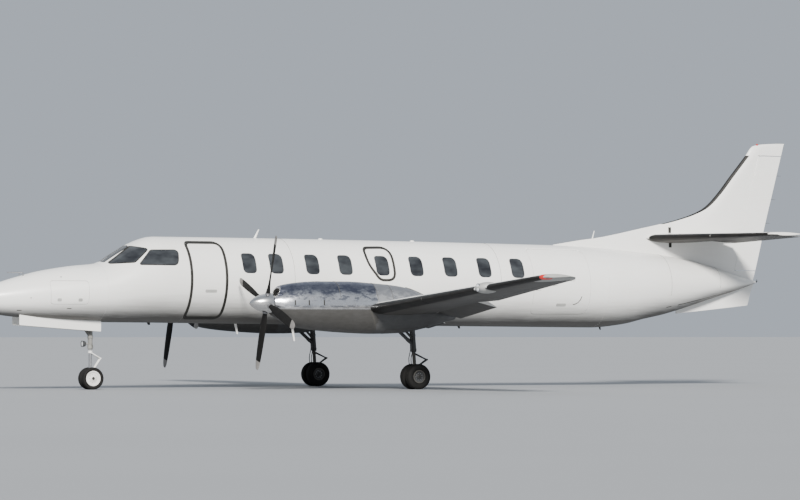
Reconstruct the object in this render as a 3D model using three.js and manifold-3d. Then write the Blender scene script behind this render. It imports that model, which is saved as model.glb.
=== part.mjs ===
// A twin turboprop airliner parked on its wheels, at its real size.
// Millimetres, +Z up, +X forward and +Y to port (the aircraft's left). The origin is on the ground
// under the middle of the aircraft. Stations are measured aft from the tip of the nose.
import * as THREE from 'three';
import { mergeVertices } from 'three/addons/utils/BufferGeometryUtils.js';
import Module from 'manifold-3d';

const wasm = await Module();
wasm.setup();

// Driving dimensions
const LENGTH = 18090;
const HEIGHT = 5080;
const HALF_SPAN = 8685;
const SEAT_GAP = 0.3;
const MOVING_GAP = 6.5;
const PIN_SLACK = 0.9;

// Fuselage
const FUSELAGE_SIDES = 32;
const CABIN_WALL = 53;
const RADOME_END = 450;
const FRONT_BULKHEAD = 2500;
const COCKPIT_END = 4144;
const CABIN_JOINT = 8560;
const REAR_BULKHEAD = 13400;
const TAIL_HOLLOW_END = 16700;
const TAIL_WALL = 22;
const FLOOR_HEIGHT = 1500;
const FLOOR_THICKNESS = 40;

// Each row is one frame of the fuselage.
const FUSELAGE_COLUMNS = ['station', 'top', 'bottom', 'halfWidth', 'widest'];
const FUSELAGE = [
  [0, 1738, 1704, 17, 1721],
  [35, 1800, 1640, 82, 1721],
  [110, 1865, 1575, 148, 1723],
  [260, 1950, 1500, 222, 1728],
  [557, 2059, 1428, 320, 1742],
  [961, 2178, 1382, 425, 1770],
  [1366, 2277, 1345, 515, 1800],
  [1979, 2373, 1313, 632, 1850],
  [2500, 2428, 1298, 714, 1900],
  [2830, 2612, 1293, 757, 1965],
  [3135, 2790, 1291, 793, 2035],
  [3427, 2910, 1289, 822, 2090],
  [3650, 2957, 1287, 838, 2122],
  [12460, 2884, 1208, 838, 2046],
  [13400, 2852, 1202, 832, 2036],
  [14110, 2797, 1267, 775, 2042],
  [14580, 2757, 1369, 712, 2062],
  [15080, 2706, 1469, 630, 2085],
  [15570, 2628, 1600, 540, 2105],
  [16220, 2495, 1795, 402, 2130],
  [16880, 2308, 1981, 235, 2145],
  [17350, 2186, 2130, 42, 2158],
];

// Wing
const WING_ROOT_LEAD = 6880;
const WING_SWEEP = 0.0806;
const WING_ROOT_CHORD = 2450;
const WING_TAPER = 1590 / HALF_SPAN;
const WING_ROOT_HEIGHT = 1300;
const WING_DIHEDRAL = 0.0925;
const WING_ROOT_SPAN = SEAT_GAP / 2;
const WING_TIP_SPAN = 8200;
const WING_CAMBER = 0.018;
const WING_ROOT_DEPTH = 367;
const WING_TIP_DEPTH = 107;
const WING_ROOT_RISE = 51;
const HINGE_CHORD = 0.74;
const INNER_FLAP = [960, 1880];
const OUTER_FLAP = [2690, 4550];
const AILERON = [4640, 8120];
const WING_END_GAP = 14;
const FLAP_DROOP = THREE.MathUtils.degToRad(18);
const FLAP_TRAVEL = THREE.MathUtils.degToRad(35);
const AILERON_TRAVEL = THREE.MathUtils.degToRad(20);
const LANDING_LAMP_SPAN = 6600;
// The navigation lamp on the leading edge of a wing tip
const TIP_LAMP = { front: [7585, 8535, 2093], back: [7770, 8618, 2095], radius: 34 };

// Jacking pads: a flat round face under each wing and one under the nose
const WING_PAD = { station: 7900, span: 3100, face: 1472, radius: 35, height: 50 };
const NOSE_PAD = { station: 760, span: 0, face: 1390, radius: 30, height: 50 };

// Tail
const STABILIZER_ROOT = { span: 70, lead: 14720, trail: 16735, height: 3058 };
const STABILIZER_TIP = { span: 2430, lead: 16310, trail: 17050, height: 3110 };
const ELEVATOR_SPANS = [190, 2330];
const ELEVATOR_HINGE = { root: 16170, tip: 16745 };
const RUDDER_HINGE = { low: [16880, 2400], high: [17452, 4800] };
const RUDDER_END_GAP = 14;
const ELEVATOR_END_GAP = 20;
// The elevators hang down by this much when the aircraft is parked.
const ELEVATOR_DROOP = THREE.MathUtils.degToRad(10);
// The flashing beacon on top of the fin
const BEACON = { foot: [17420, 0, 4960], top: [17420, 0, 5068], radius: 38 };

// Nacelle, propeller and engine
const NACELLE_SPAN = 2285;
const PROPELLER_HEIGHT = 1660;
const PROPELLER_STATION = 5085;
const PROPELLER_RADIUS = 1345;
const PROPELLER_TILT = THREE.MathUtils.degToRad(-19.5);
const BLADE_COUNT = 4;
const SPINNER_TIP = 4720;
const SPINNER_BACK = 5168;
const SPINNER_RADIUS = 190;
const NACELLE_FRONT = 5185;
const SHAFT_RADIUS = 39;
const ENGINE = { front: 5600, back: 6700, radius: 235, height: 1620, sides: 12 };

// Each row is one frame of the nacelle.
const NACELLE_COLUMNS = ['station', 'top', 'bottom', 'halfWidth', 'widest'];
const NACELLE = [
  [NACELLE_FRONT, 1848, 1425, 190, 1650],
  [5430, 1935, 1290, 282, 1618],
  [5580, 2005, 1224, 318, 1600],
  [5780, 2060, 1178, 348, 1590],
  [6210, 2084, 1129, 380, 1580],
  [6840, 2081, 1088, 390, 1565],
  [7270, 2055, 1074, 390, 1545],
  [7910, 1990, 1092, 385, 1510],
  [8370, 1840, 1170, 345, 1490],
  [8560, 1640, 1222, 300, 1450],
  [9060, 1440, 1345, 130, 1400],
];
// Each row is one frame of the air scoop over the propeller shaft.
const SCOOP_COLUMNS = ['station', 'top', 'bottom', 'halfWidth', 'widest'];
const SCOOP = [
  [5275, 1972, 1740, 172, 1862],
  [5430, 2015, 1720, 196, 1858],
  [5620, 2047, 1710, 190, 1850],
  [5900, 2074, 1700, 150, 1840],
];
const INTAKE = { from: 5170, to: 5560, height: 1870, halfWidth: 140, halfHeight: 74 };
const EXHAUST = { from: 8080, to: 8800, height: 1748, radius: 92 };

// Landing gear
const MAIN_STATION = 8243;
const MAIN_TYRE = { radius: 247.5, width: 171, rim: 128, spacing: 245 };
const NOSE_STATION = 2413;
const NOSE_TYRE = { radius: 215, width: 112, rim: 100, spacing: 190 };
const STEERING_STATION = 2398;
const TYRE_SIDES = 16;
const MAIN_AXLE_RADIUS = 22;
const NOSE_AXLE_RADIUS = 17;
const NOSE_DOOR = { inner: 186, outer: 200 };
const NOSE_WELL = { from: 930, to: 2490, halfWidth: 165, roof: 1600 };

// Doors
const PASSENGER_DOOR = { from: 4170, to: 4900, bottom: 1385, top: 2840, topDrop: 0, sill: 332 };
const CARGO_DOOR = { from: 11650, to: 12950, bottom: 1475, top: 2790, topDrop: 22 };
const BAGGAGE_DOOR = { from: 1400, to: 2120, bottom: 1640, top: 2080, topDrop: 0, depth: 28, bay: 250 };
const DOOR_BARREL = 13;

// Materials
function paint(colour, roughness, metalness) {
  return new THREE.MeshStandardMaterial({ color: colour, roughness, metalness });
}
const WHITE = paint(0xe9e7e0, 0.35, 0);
const GREY = paint(0xb9bab8, 0.45, 0);
const BARE_METAL = paint(0xc3c7cd, 0.18, 1);
const CHROME = paint(0xd6d8dc, 0.08, 1);
const DARK_METAL = paint(0x35363a, 0.5, 0.6);
const BLACK = paint(0x17171a, 0.6, 0);
const TYRE_RUBBER = paint(0x1c1c1e, 0.85, 0);
const GLASS = paint(0x20262c, 0.06, 0);
const CABIN_FLOOR = paint(0x6d6a66, 0.8, 0);

const aircraft = new THREE.Group();

// Points, loops and solids
function at(station, span, height) {
  return new THREE.Vector3(LENGTH / 2 - station, span, height);
}

// A closed mesh as a solid, with its faces turned to point out and its empty triangles left out.
function solidFromMesh(positions, triangles) {
  const kept = [];
  let volume = 0;
  const point = (index) => new THREE.Vector3().fromArray(positions, 3 * index);
  for (let corner = 0; corner < triangles.length; corner += 3) {
    const [a, b, c] = [triangles[corner], triangles[corner + 1], triangles[corner + 2]];
    if (a === b || b === c || a === c) continue;
    kept.push(a, b, c);
    volume += point(a).dot(point(b).cross(point(c)));
  }
  if (volume < 0) kept.reverse();
  const mesh = new wasm.Mesh({
    numProp: 3,
    vertProperties: new Float32Array(positions),
    triVerts: new Uint32Array(kept),
  });
  return new wasm.Manifold(mesh);
}

function solidFrom(geometry) {
  const bare = geometry.clone();
  bare.deleteAttribute('normal');
  bare.deleteAttribute('uv');
  const merged = mergeVertices(bare, 0.001);
  return solidFromMesh(merged.attributes.position.array, Array.from(merged.index.array));
}

function geometryFrom(solid) {
  const mesh = solid.getMesh();
  const geometry = new THREE.BufferGeometry();
  geometry.setAttribute('position', new THREE.BufferAttribute(mesh.vertProperties, 3));
  geometry.setIndex(new THREE.BufferAttribute(mesh.triVerts, 1));
  geometry.computeVertexNormals();
  return geometry;
}

// The same solid, moved by a matrix.
function moved(solid, matrix) {
  const geometry = geometryFrom(solid).applyMatrix4(matrix);
  return solidFromMesh(geometry.attributes.position.array, Array.from(geometry.index.array));
}

function mirrored(solid) {
  return moved(solid, new THREE.Matrix4().makeScale(1, -1, 1));
}

function turned(solid, start, end, angle) {
  const axis = end.clone().sub(start).normalize();
  const matrix = new THREE.Matrix4().makeTranslation(start);
  matrix.multiply(new THREE.Matrix4().makeRotationAxis(axis, angle));
  matrix.multiply(new THREE.Matrix4().makeTranslation(start.clone().negate()));
  return moved(solid, matrix);
}

// A closed skin over loops that have the same number of points, with a fan over each end.
function loft(loops) {
  const sides = loops[0].length;
  const points = loops.flat();
  const triangles = [];
  for (let ring = 0; ring + 1 < loops.length; ring += 1) {
    for (let side = 0; side < sides; side += 1) {
      const here = ring * sides + side;
      const next = ring * sides + ((side + 1) % sides);
      triangles.push(here, next, next + sides, here, next + sides, here + sides);
    }
  }
  for (const [first, flip] of [[0, true], [(loops.length - 1) * sides, false]]) {
    const middle = new THREE.Vector3();
    for (let side = 0; side < sides; side += 1) middle.addScaledVector(points[first + side], 1 / sides);
    points.push(middle);
    const centre = points.length - 1;
    for (let side = 0; side < sides; side += 1) {
      const next = (side + 1) % sides;
      const corners = flip ? [centre, first + next, first + side] : [centre, first + side, first + next];
      triangles.push(...corners);
    }
  }
  return solidFromMesh(points.flatMap((point) => [point.x, point.y, point.z]), triangles);
}

function block(fromStation, toStation, fromSpan, toSpan, fromHeight, toHeight) {
  const size = [toStation - fromStation, toSpan - fromSpan, toHeight - fromHeight];
  const geometry = new THREE.BoxGeometry(...size);
  const middle = at((fromStation + toStation) / 2, (fromSpan + toSpan) / 2, (fromHeight + toHeight) / 2);
  geometry.translate(middle.x, middle.y, middle.z);
  return solidFrom(geometry);
}

// A round bar between two points, with its own radius at each end.
function bar(start, end, startRadius, endRadius = startRadius, sides = 16) {
  const along = end.clone().sub(start);
  const geometry = new THREE.CylinderGeometry(endRadius, startRadius, along.length(), sides);
  const turn = new THREE.Quaternion();
  turn.setFromUnitVectors(new THREE.Vector3(0, 1, 0), along.clone().normalize());
  geometry.applyQuaternion(turn);
  const middle = start.clone().add(end).multiplyScalar(0.5);
  geometry.translate(middle.x, middle.y, middle.z);
  return solidFrom(geometry);
}

function jackingPad({ station, span, face, radius, height }) {
  return bar(at(station, span, face), at(station, span, face + height), radius, radius, 12);
}

function joined(solids) {
  return solids.reduce((whole, solid) => whole.add(solid));
}

function place(name, solid, material) {
  const mesh = new THREE.Mesh(geometryFrom(solid), material);
  mesh.name = name;
  aircraft.add(mesh);
}

function named(row, columns) {
  return Object.fromEntries(columns.map((column, index) => [column, row[index]]));
}

// A row of a table at any station between its rows, with its columns named.
function rowAt(table, columns, station) {
  const last = table.length - 1;
  let upper = table.findIndex((row) => row[0] >= station);
  if (upper < 0) upper = last;
  if (upper === 0) upper = 1;
  const [before, after] = [table[upper - 1], table[upper]];
  const share = (station - before[0]) / (after[0] - before[0]);
  return named(before.map((value, column) => value + (after[column] - value) * share), columns);
}

// One frame: a half ellipse over the widest height and another one under it.
function frameLoop(row, span, grow, sides) {
  const loop = [];
  for (let side = 0; side < sides; side += 1) {
    const angle = (2 * Math.PI * side) / sides;
    const rise = angle < Math.PI ? row.top + grow - row.widest : row.widest - row.bottom + grow;
    const reach = (row.halfWidth + grow) * Math.cos(angle);
    loop.push(at(row.station, span + reach, row.widest + rise * Math.sin(angle)));
  }
  return loop;
}

function hull(table, columns, from, to, span, grow, sides) {
  const stations = [from];
  for (const row of table) if (row[0] > from && row[0] < to) stations.push(row[0]);
  stations.push(to);
  return loft(stations.map((station) => frameLoop(rowAt(table, columns, station), span, grow, sides)));
}

function fuselage(from, to, grow = 0) {
  return hull(FUSELAGE, FUSELAGE_COLUMNS, from, to, 0, grow, FUSELAGE_SIDES);
}

// An outline of corners, each with a station, a height and a corner radius, pushed across the span.
// The corners go round from the low front one to the low rear one, so that it grows outwards.
function sidePrism(corners, fromSpan, toSpan, grow = 0) {
  const outwards = corners.map(([station, height], index) => {
    const [nextStation, nextHeight] = corners[(index + 1) % corners.length];
    const size = Math.hypot(nextStation - station, nextHeight - height);
    return [(nextHeight - height) / size, (station - nextStation) / size];
  });
  const grown = corners.map(([station, height, radius], index) => {
    const [before, after] = [outwards.at(index - 1), outwards[index]];
    const step = grow / (1 + before[0] * after[0] + before[1] * after[1]);
    const [back, up] = [(before[0] + after[0]) * step, (before[1] + after[1]) * step];
    return [LENGTH / 2 - station - back, height + up, radius];
  });
  const shape = new THREE.Shape();
  grown.forEach(([x, z, radius], index) => {
    const before = grown[(index + grown.length - 1) % grown.length];
    const after = grown[(index + 1) % grown.length];
    const [entry, exit] = [before, after].map(([otherX, otherZ]) => {
      const distance = Math.hypot(otherX - x, otherZ - z);
      return [x + ((otherX - x) * radius) / distance, z + ((otherZ - z) * radius) / distance];
    });
    if (index === 0) shape.moveTo(...entry);
    else shape.lineTo(...entry);
    shape.quadraticCurveTo(x, z, ...exit);
  });
  shape.closePath();
  const options = { depth: toSpan - fromSpan, bevelEnabled: false, curveSegments: 3 };
  const geometry = new THREE.ExtrudeGeometry(shape, options);
  geometry.rotateX(Math.PI / 2);
  geometry.translate(0, toSpan, 0);
  return solidFrom(geometry);
}

// A hung piece has a pin at each end of its hinge line, in a bore of what carries it. Where nothing
// of the carrier is there, it first gets a lug: a block from the line towards the carrier.
function hang(carrier, piece, axis, { endGap, pinRadius = 8, lug = null }) {
  const along = axis.end.clone().sub(axis.start).normalize();
  let fixed = carrier;
  let hung = piece;
  for (const [end, outwards] of [[axis.start, -1], [axis.end, 1]]) {
    const from = (distance) => end.clone().addScaledVector(along, outwards * distance);
    if (lug) {
      const shape = new THREE.BoxGeometry(lug.width, lug.reach, lug.thickness);
      shape.translate(0, lug.reach / 2 - lug.width / 2, 0);
      const side = along.clone().cross(lug.towards).normalize();
      const reach = side.clone().cross(along).normalize();
      shape.applyMatrix4(new THREE.Matrix4().makeBasis(reach.clone().cross(along), reach, along));
      const middle = from(endGap + lug.thickness / 2);
      shape.translate(middle.x, middle.y, middle.z);
      fixed = fixed.add(solidFrom(shape));
      const notch = lug.width * 0.71 + MOVING_GAP;
      hung = hung.subtract(
        bar(from(endGap - MOVING_GAP), from(endGap + lug.thickness + MOVING_GAP), notch, notch, 8),
      );
    }
    hung = hung.add(bar(from(-30), from(endGap + 22), pinRadius, pinRadius, 8));
    const bore = pinRadius + PIN_SLACK;
    fixed = fixed.subtract(bar(from(endGap - 10), from(endGap + 28), bore, bore, 8));
  }
  return [fixed, hung];
}

// A door's barrel lies along its hinge line, in a groove of the wall, between two lugs.
function hangDoor(wall, door, axis, towards) {
  const groove = wall.subtract(
    bar(axis.start, axis.end, DOOR_BARREL + MOVING_GAP, DOOR_BARREL + MOVING_GAP, 8),
  );
  const barrel = door.add(bar(axis.start, axis.end, DOOR_BARREL, DOOR_BARREL, 8));
  return hang(groove, barrel, axis, {
    endGap: MOVING_GAP,
    pinRadius: 5,
    lug: { width: 2 * DOOR_BARREL, reach: 70, thickness: 30, towards },
  });
}

// Everything aft of a hinge line, and the round nose in front of it, between two end planes.
function aftOfHinge(start, end, startNose, endNose, reach, tall, grow, endGap) {
  const along = end.clone().sub(start).normalize();
  const from = start.clone().addScaledVector(along, -endGap);
  const to = end.clone().addScaledVector(along, endGap);
  const nose = bar(from, to, startNose + grow, endNose + grow, 20);
  const backwards = new THREE.Vector3(-reach, 0, 0);
  const corners = [[0, -1], [1, -1], [1, 1], [0, 1]];
  const loops = [from, to].map((point) => corners.map(([back, side]) => (
    point.clone().addScaledVector(backwards, back).addScaledVector(tall, side)
  )));
  return nose.add(loft(loops));
}

// Wing sections
function aerofoil(thickness, camber, steps) {
  const upper = [];
  const lower = [];
  for (let step = 0; step <= steps; step += 1) {
    const along = 0.5 * (1 - Math.cos((Math.PI * step) / steps));
    const round = 0.2969 * Math.sqrt(along) - 0.126 * along - 0.3516 * along ** 2;
    const half = 5 * thickness * (round + 0.2843 * along ** 3 - 0.1015 * along ** 4);
    const middle = 4 * camber * along * (1 - along);
    upper.push([along, middle + half]);
    lower.push([along, middle - half]);
  }
  return [...upper.reverse(), ...lower.slice(1)];
}

function grownLoop(loop, distance) {
  return loop.map(([x, z], index) => {
    const before = loop[(index + loop.length - 1) % loop.length];
    const after = loop[(index + 1) % loop.length];
    const edge = [after[0] - before[0], after[1] - before[1]];
    const size = Math.hypot(...edge) || 1;
    return [x + (edge[1] * distance) / size, z - (edge[0] * distance) / size];
  });
}

function wingLead(span) {
  return WING_ROOT_LEAD + WING_SWEEP * span;
}

function wingChord(span) {
  return WING_ROOT_CHORD - WING_TAPER * span;
}

function wingHeight(span) {
  return WING_ROOT_HEIGHT + WING_DIHEDRAL * span;
}

// The depth and the nose-up rise change evenly along the span, so that any two sections give the same skin.
function wingDepth(span) {
  return WING_ROOT_DEPTH - ((WING_ROOT_DEPTH - WING_TIP_DEPTH) * span) / HALF_SPAN;
}

function wingRise(span) {
  return WING_ROOT_RISE * (1 - span / HALF_SPAN);
}

function wingLoop(span, grow = 0, chordShare = 1, depthShare = 1) {
  const fullChord = wingChord(span);
  const chord = fullChord * chordShare;
  const ahead = (fullChord - chord) * 0.25;
  const section = aerofoil((wingDepth(span) * depthShare) / chord, WING_CAMBER, 9);
  const sized = section.map(([along, up]) => [ahead + along * chord, up * chord]);
  return grownLoop(sized, grow).map(([back, up]) => {
    const rise = wingRise(span) * (0.4 - back / fullChord);
    return at(wingLead(span) + back, span, wingHeight(span) + up + rise);
  });
}

function wingHinge(span) {
  const camberHeight = 4 * WING_CAMBER * HINGE_CHORD * (1 - HINGE_CHORD) * wingChord(span);
  const height = wingHeight(span) + camberHeight + wingRise(span) * (0.4 - HINGE_CHORD);
  return at(wingLead(span) + HINGE_CHORD * wingChord(span), span, height);
}

// Half the depth of the section where the flaps and ailerons hang.
function wingHalfDepth(span) {
  return 0.2733 * wingDepth(span);
}

// Fuselage pieces
const skin = fuselage(FRONT_BULKHEAD, REAR_BULKHEAD);
const cabinSpace = fuselage(FRONT_BULKHEAD - 1, REAR_BULKHEAD + 1, -CABIN_WALL);
let cabin = skin.subtract(cabinSpace);

place('nose_radome', fuselage(0, RADOME_END - SEAT_GAP), WHITE);

let noseSection = fuselage(RADOME_END, FRONT_BULKHEAD - SEAT_GAP);
noseSection = noseSection.subtract(
  block(NOSE_WELL.from, NOSE_WELL.to, -NOSE_WELL.halfWidth, NOSE_WELL.halfWidth, 1000, NOSE_WELL.roof),
).add(jackingPad(NOSE_PAD));

// The top edge of a door falls towards its aft end where the roof of the fuselage does.
function doorCorners({ from, to, bottom, top, topDrop }, radii) {
  return [
    [from, bottom, radii[0]],
    [to, bottom, radii[1]],
    [to, top - topDrop, radii[2]],
    [from, top, radii[3]],
  ];
}

// A door is the part of the wall inside its outline, and the opening is a little wider than the door.
function cutDoor(wall, corners, side) {
  const spans = side > 0 ? [60, 1000] : [-1000, -60];
  const inside = sidePrism(corners, ...spans);
  const outside = sidePrism(corners, ...spans, 2 * MOVING_GAP);
  return [wall.subtract(outside), wall.intersect(inside)];
}

// The outside of the fuselage at a station and height, on the port side.
function skinSpan(station, height) {
  const row = rowAt(FUSELAGE, FUSELAGE_COLUMNS, station);
  const rise = height > row.widest ? row.top - row.widest : row.widest - row.bottom;
  return row.halfWidth * Math.sqrt(1 - ((height - row.widest) / rise) ** 2);
}

function doorHinge(door, height, side, drop = 0) {
  const [fore, aft] = [door.from + 90, door.to - 90];
  const spans = [skinSpan(fore, height), skinSpan(aft, height - drop)];
  return {
    start: at(fore, side * (spans[0] + 9), height),
    end: at(aft, side * (spans[1] + 9), height - drop),
  };
}

const passengerHinge = doorHinge(PASSENGER_DOOR, PASSENGER_DOOR.bottom - 8, 1);
const passengerCorners = doorCorners(PASSENGER_DOOR, [70, 110, 160, 90]);
let passengerDoor;
[cabin, passengerDoor] = cutDoor(cabin, passengerCorners, 1);
// The inner lip of the sill is cut away, so that it swings past the edge of the floor.
const underFloor = FLOOR_HEIGHT - FLOOR_THICKNESS;
passengerDoor = passengerDoor.subtract(
  block(PASSENGER_DOOR.from - 50, PASSENGER_DOOR.to + 50, 0, PASSENGER_DOOR.sill, 1200, underFloor),
);
[cabin, passengerDoor] = hangDoor(cabin, passengerDoor, passengerHinge, new THREE.Vector3(0, -0.8, -0.6));

const cargoHinge = doorHinge(CARGO_DOOR, CARGO_DOOR.top + 8, 1, CARGO_DOOR.topDrop);
const cargoCorners = doorCorners(CARGO_DOOR, [120, 200, 120, 120]);
let cargoDoor;
[cabin, cargoDoor] = cutDoor(cabin, cargoCorners, 1);
[cabin, cargoDoor] = hangDoor(cabin, cargoDoor, cargoHinge, new THREE.Vector3(0, -0.8, 0.5));

// The nose baggage doors are thin panels over shallow bays, one on each side.
const baggageCorners = doorCorners(BAGGAGE_DOOR, [60, 60, 60, 60]);
const panelEdge = fuselage(RADOME_END + 1, FRONT_BULKHEAD - 1, -BAGGAGE_DOOR.depth);
const baggageDoors = [];
for (const side of [1, -1]) {
  const spans = side > 0 ? [60, 1000] : [-1000, -60];
  const deep = side > 0 ? [BAGGAGE_DOOR.bay, 1000] : [-1000, -BAGGAGE_DOOR.bay];
  const bay = sidePrism(baggageCorners, ...deep, 2 * MOVING_GAP);
  const panel = noseSection.subtract(panelEdge).intersect(sidePrism(baggageCorners, ...spans));
  noseSection = noseSection.subtract(bay);
  const panelHinge = doorHinge(BAGGAGE_DOOR, BAGGAGE_DOOR.top + 8, side);
  const inwards = new THREE.Vector3(0, -side * 0.8, 0.6);
  let hungPanel;
  [noseSection, hungPanel] = hangDoor(noseSection, panel, panelHinge, inwards);
  baggageDoors.push([side > 0 ? 'baggage_door_left' : 'baggage_door_right', hungPanel]);
}
for (const [name, panel] of baggageDoors) place(name, panel, WHITE);

// Cockpit panes: each outline is a list of corners with a station, a height and a corner radius.
const SIDE_PANES = {
  front: [[2639, 2425, 20], [3063, 2449, 25], [3368, 2704, 25], [3127, 2755, 20]],
  rear: [[3143, 2405, 30], [3890, 2400, 90], [3955, 2684, 80], [3412, 2678, 30]],
};
const SIDE_PANE_SPANS = [215, 1000];
// The windshield panes lie at the two sides of the middle post.
const WINDSHIELD = { from: 2530, to: 3110, inner: 30, outer: 182, low: 2380, high: 2950 };

function windshieldSpace(side, grow) {
  const spans = [side * (WINDSHIELD.inner - grow), side * (WINDSHIELD.outer + grow)].sort((a, b) => a - b);
  return block(WINDSHIELD.from - grow, WINDSHIELD.to + grow, ...spans, WINDSHIELD.low, WINDSHIELD.high);
}

for (const [side, word] of [[1, 'left'], [-1, 'right']]) {
  for (const [pane, corners] of Object.entries(SIDE_PANES)) {
    const spans = SIDE_PANE_SPANS.map((span) => side * span).sort((a, b) => a - b);
    const glass = cabin.intersect(sidePrism(corners, ...spans));
    place(`side_window_${pane}_${word}`, glass, GLASS);
    const grownSpans = [spans[0] - SEAT_GAP, spans[1] + SEAT_GAP];
    cabin = cabin.subtract(sidePrism(corners, ...grownSpans, SEAT_GAP));
  }
  place(`windshield_${word}`, cabin.intersect(windshieldSpace(side, 0)), GLASS);
  cabin = cabin.subtract(windshieldSpace(side, SEAT_GAP));
}

const floorSpace = fuselage(FRONT_BULKHEAD, REAR_BULKHEAD, -CABIN_WALL - SEAT_GAP);
const floorSlab = block(2700, REAR_BULKHEAD - 40, -1000, 1000, underFloor, FLOOR_HEIGHT);
place('cabin_floor', floorSlab.intersect(floorSpace), CABIN_FLOOR);

let tailCone = fuselage(REAR_BULKHEAD + SEAT_GAP, 17350);
tailCone = tailCone.subtract(fuselage(REAR_BULKHEAD - 1, TAIL_HOLLOW_END, -TAIL_WALL));

// Fin and rudder. Each row is one level of the fin, cut flat through it.
const FIN_COLUMNS = ['height', 'lead', 'thickest', 'halfThickness', 'trail', 'bluntness'];
const FIN = [
  [2150, 12900, 15900, 84, 17300, 1.1],
  [2450, 12700, 15900, 84, 17382, 1.1],
  [2890, 12530, 15900, 84, 17495, 1.1],
  [3056, 13640, 16000, 84, 17534, 1.0],
  [3247, 14580, 16080, 84, 17580, 0.9],
  [3400, 15290, 16150, 84, 17620, 0.75],
  [3555, 15810, 16260, 83, 17662, 0.6],
  [3703, 16120, 16400, 82, 17702, 0.5],
  [3988, 16430, 16640, 80, 17782, 0.5],
  [4354, 16740, 16930, 74, 17882, 0.5],
  [4830, 17150, 17320, 66, 18012, 0.5],
  [5008, 17300, 17470, 50, 18060, 0.5],
  [5056, 17520, 17640, 28, 18073, 0.5],
];
const FIN_STEPS = 5;

function finLoop(row, grow = 0) {
  const port = [];
  for (let step = 0; step <= FIN_STEPS; step += 1) {
    const share = step / FIN_STEPS;
    const back = row.lead + (row.thickest - row.lead) * share ** 1.6;
    port.push([back, row.halfThickness * (share ** 1.6) ** row.bluntness]);
  }
  port.push([row.trail, 5]);
  const grown = port.map(([back, side], index) => [back - (index === 0 ? grow : 0), side + grow]);
  const starboard = grown.slice(1).map(([back, side]) => [back, -side]).reverse();
  grown[0][1] = 0;
  return [...grown, ...starboard].map(([back, side]) => at(back, side, row.height));
}

const finRows = FIN.map((row) => named(row, FIN_COLUMNS));
const finTop = named([HEIGHT, 17900, 17960, 12, 18090, 0.5], FIN_COLUMNS);
let fin = loft([...finRows, finTop].map((row) => finLoop(row)));
const rudderLow = at(RUDDER_HINGE.low[0], 0, RUDDER_HINGE.low[1]);
const rudderHigh = at(RUDDER_HINGE.high[0], 0, RUDDER_HINGE.high[1]);
const sideways = new THREE.Vector3(0, 400, 0);
const rudderNose = [46, 62];
const rudderSpace = [rudderLow, rudderHigh, ...rudderNose, 1400, sideways];
let rudder = fin.intersect(aftOfHinge(...rudderSpace, 0, 0));
fin = fin.subtract(aftOfHinge(...rudderSpace, MOVING_GAP, RUDDER_END_GAP));
[fin, rudder] = hang(fin, rudder, { start: rudderLow, end: rudderHigh }, { endGap: RUDDER_END_GAP });
fin = fin.add(bar(at(...BEACON.foot), at(...BEACON.top), BEACON.radius, BEACON.radius * 0.6, 6));

// The ventral fin: corners with a station, a height and a corner radius
const VENTRAL = [
  [15440, 1493, 4],
  [17170, 1670, 10],
  [17230, 1900, 10],
  [17330, 2150, 4],
  [16600, 2200, 4],
  [15440, 1700, 4],
];
const ventral = sidePrism(VENTRAL, -16, 16).subtract(fuselage(REAR_BULKHEAD, 17350, SEAT_GAP));

// Horizontal tail
function tailMix(root, tip, span) {
  const share = (span - STABILIZER_ROOT.span) / (STABILIZER_TIP.span - STABILIZER_ROOT.span);
  return root + (tip - root) * share;
}

function tailLoop(span, grow = 0, chordShare = 1) {
  const lead = tailMix(STABILIZER_ROOT.lead, STABILIZER_TIP.lead, span);
  const fullChord = tailMix(STABILIZER_ROOT.trail, STABILIZER_TIP.trail, span) - lead;
  const chord = fullChord * chordShare;
  const height = tailMix(STABILIZER_ROOT.height, STABILIZER_TIP.height, span);
  const ahead = (fullChord - chord) * 0.6;
  const sized = aerofoil(0.1, 0, 8).map(([along, up]) => [along * chord, up * chord]);
  return grownLoop(sized, grow).map(([back, up]) => at(lead + ahead + back, span, height + up));
}

function elevatorHingeAt(span) {
  const station = tailMix(ELEVATOR_HINGE.root, ELEVATOR_HINGE.tip, span);
  return at(station, span, tailMix(STABILIZER_ROOT.height, STABILIZER_TIP.height, span));
}

const upwards = new THREE.Vector3(0, 0, 400);
const tailPanel = loft([
  tailLoop(STABILIZER_ROOT.span),
  tailLoop(2340),
  tailLoop(2400, 0, 0.94),
  tailLoop(2430, 0, 0.82),
]);
const finRoom = loft(finRows.map((row) => finLoop(row, SEAT_GAP)));
const elevatorStart = elevatorHingeAt(ELEVATOR_SPANS[0]);
const elevatorEnd = elevatorHingeAt(ELEVATOR_SPANS[1]);
const elevatorNose = [62, 35];
const elevatorSpace = [elevatorStart, elevatorEnd, ...elevatorNose, 1100, upwards];
let elevator = tailPanel.intersect(aftOfHinge(...elevatorSpace, 0, 0));
let stabilizer = tailPanel.subtract(aftOfHinge(...elevatorSpace, MOVING_GAP, ELEVATOR_END_GAP));
[stabilizer, elevator] = hang(stabilizer, elevator, { start: elevatorStart, end: elevatorEnd }, {
  endGap: ELEVATOR_END_GAP,
  pinRadius: 6,
});
elevator = turned(elevator, elevatorStart, elevatorEnd, -ELEVATOR_DROOP);
for (const [word, side] of [['left', (solid) => solid], ['right', mirrored]]) {
  place(`stabilizer_${word}`, side(stabilizer).subtract(finRoom), WHITE);
  place(`elevator_${word}`, side(elevator), WHITE);
}
fin = fin.subtract(fuselage(12000, 17350, SEAT_GAP));
place('fin', fin, WHITE);
place('rudder', rudder.subtract(fuselage(16000, 17350, MOVING_GAP)), WHITE);
place('ventral_fin', ventral, WHITE);
place('tail_cone', tailCone, WHITE);
place('nose_section', noseSection, WHITE);
place('passenger_door', passengerDoor, WHITE);
place('cargo_door', cargoDoor, WHITE);

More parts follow.
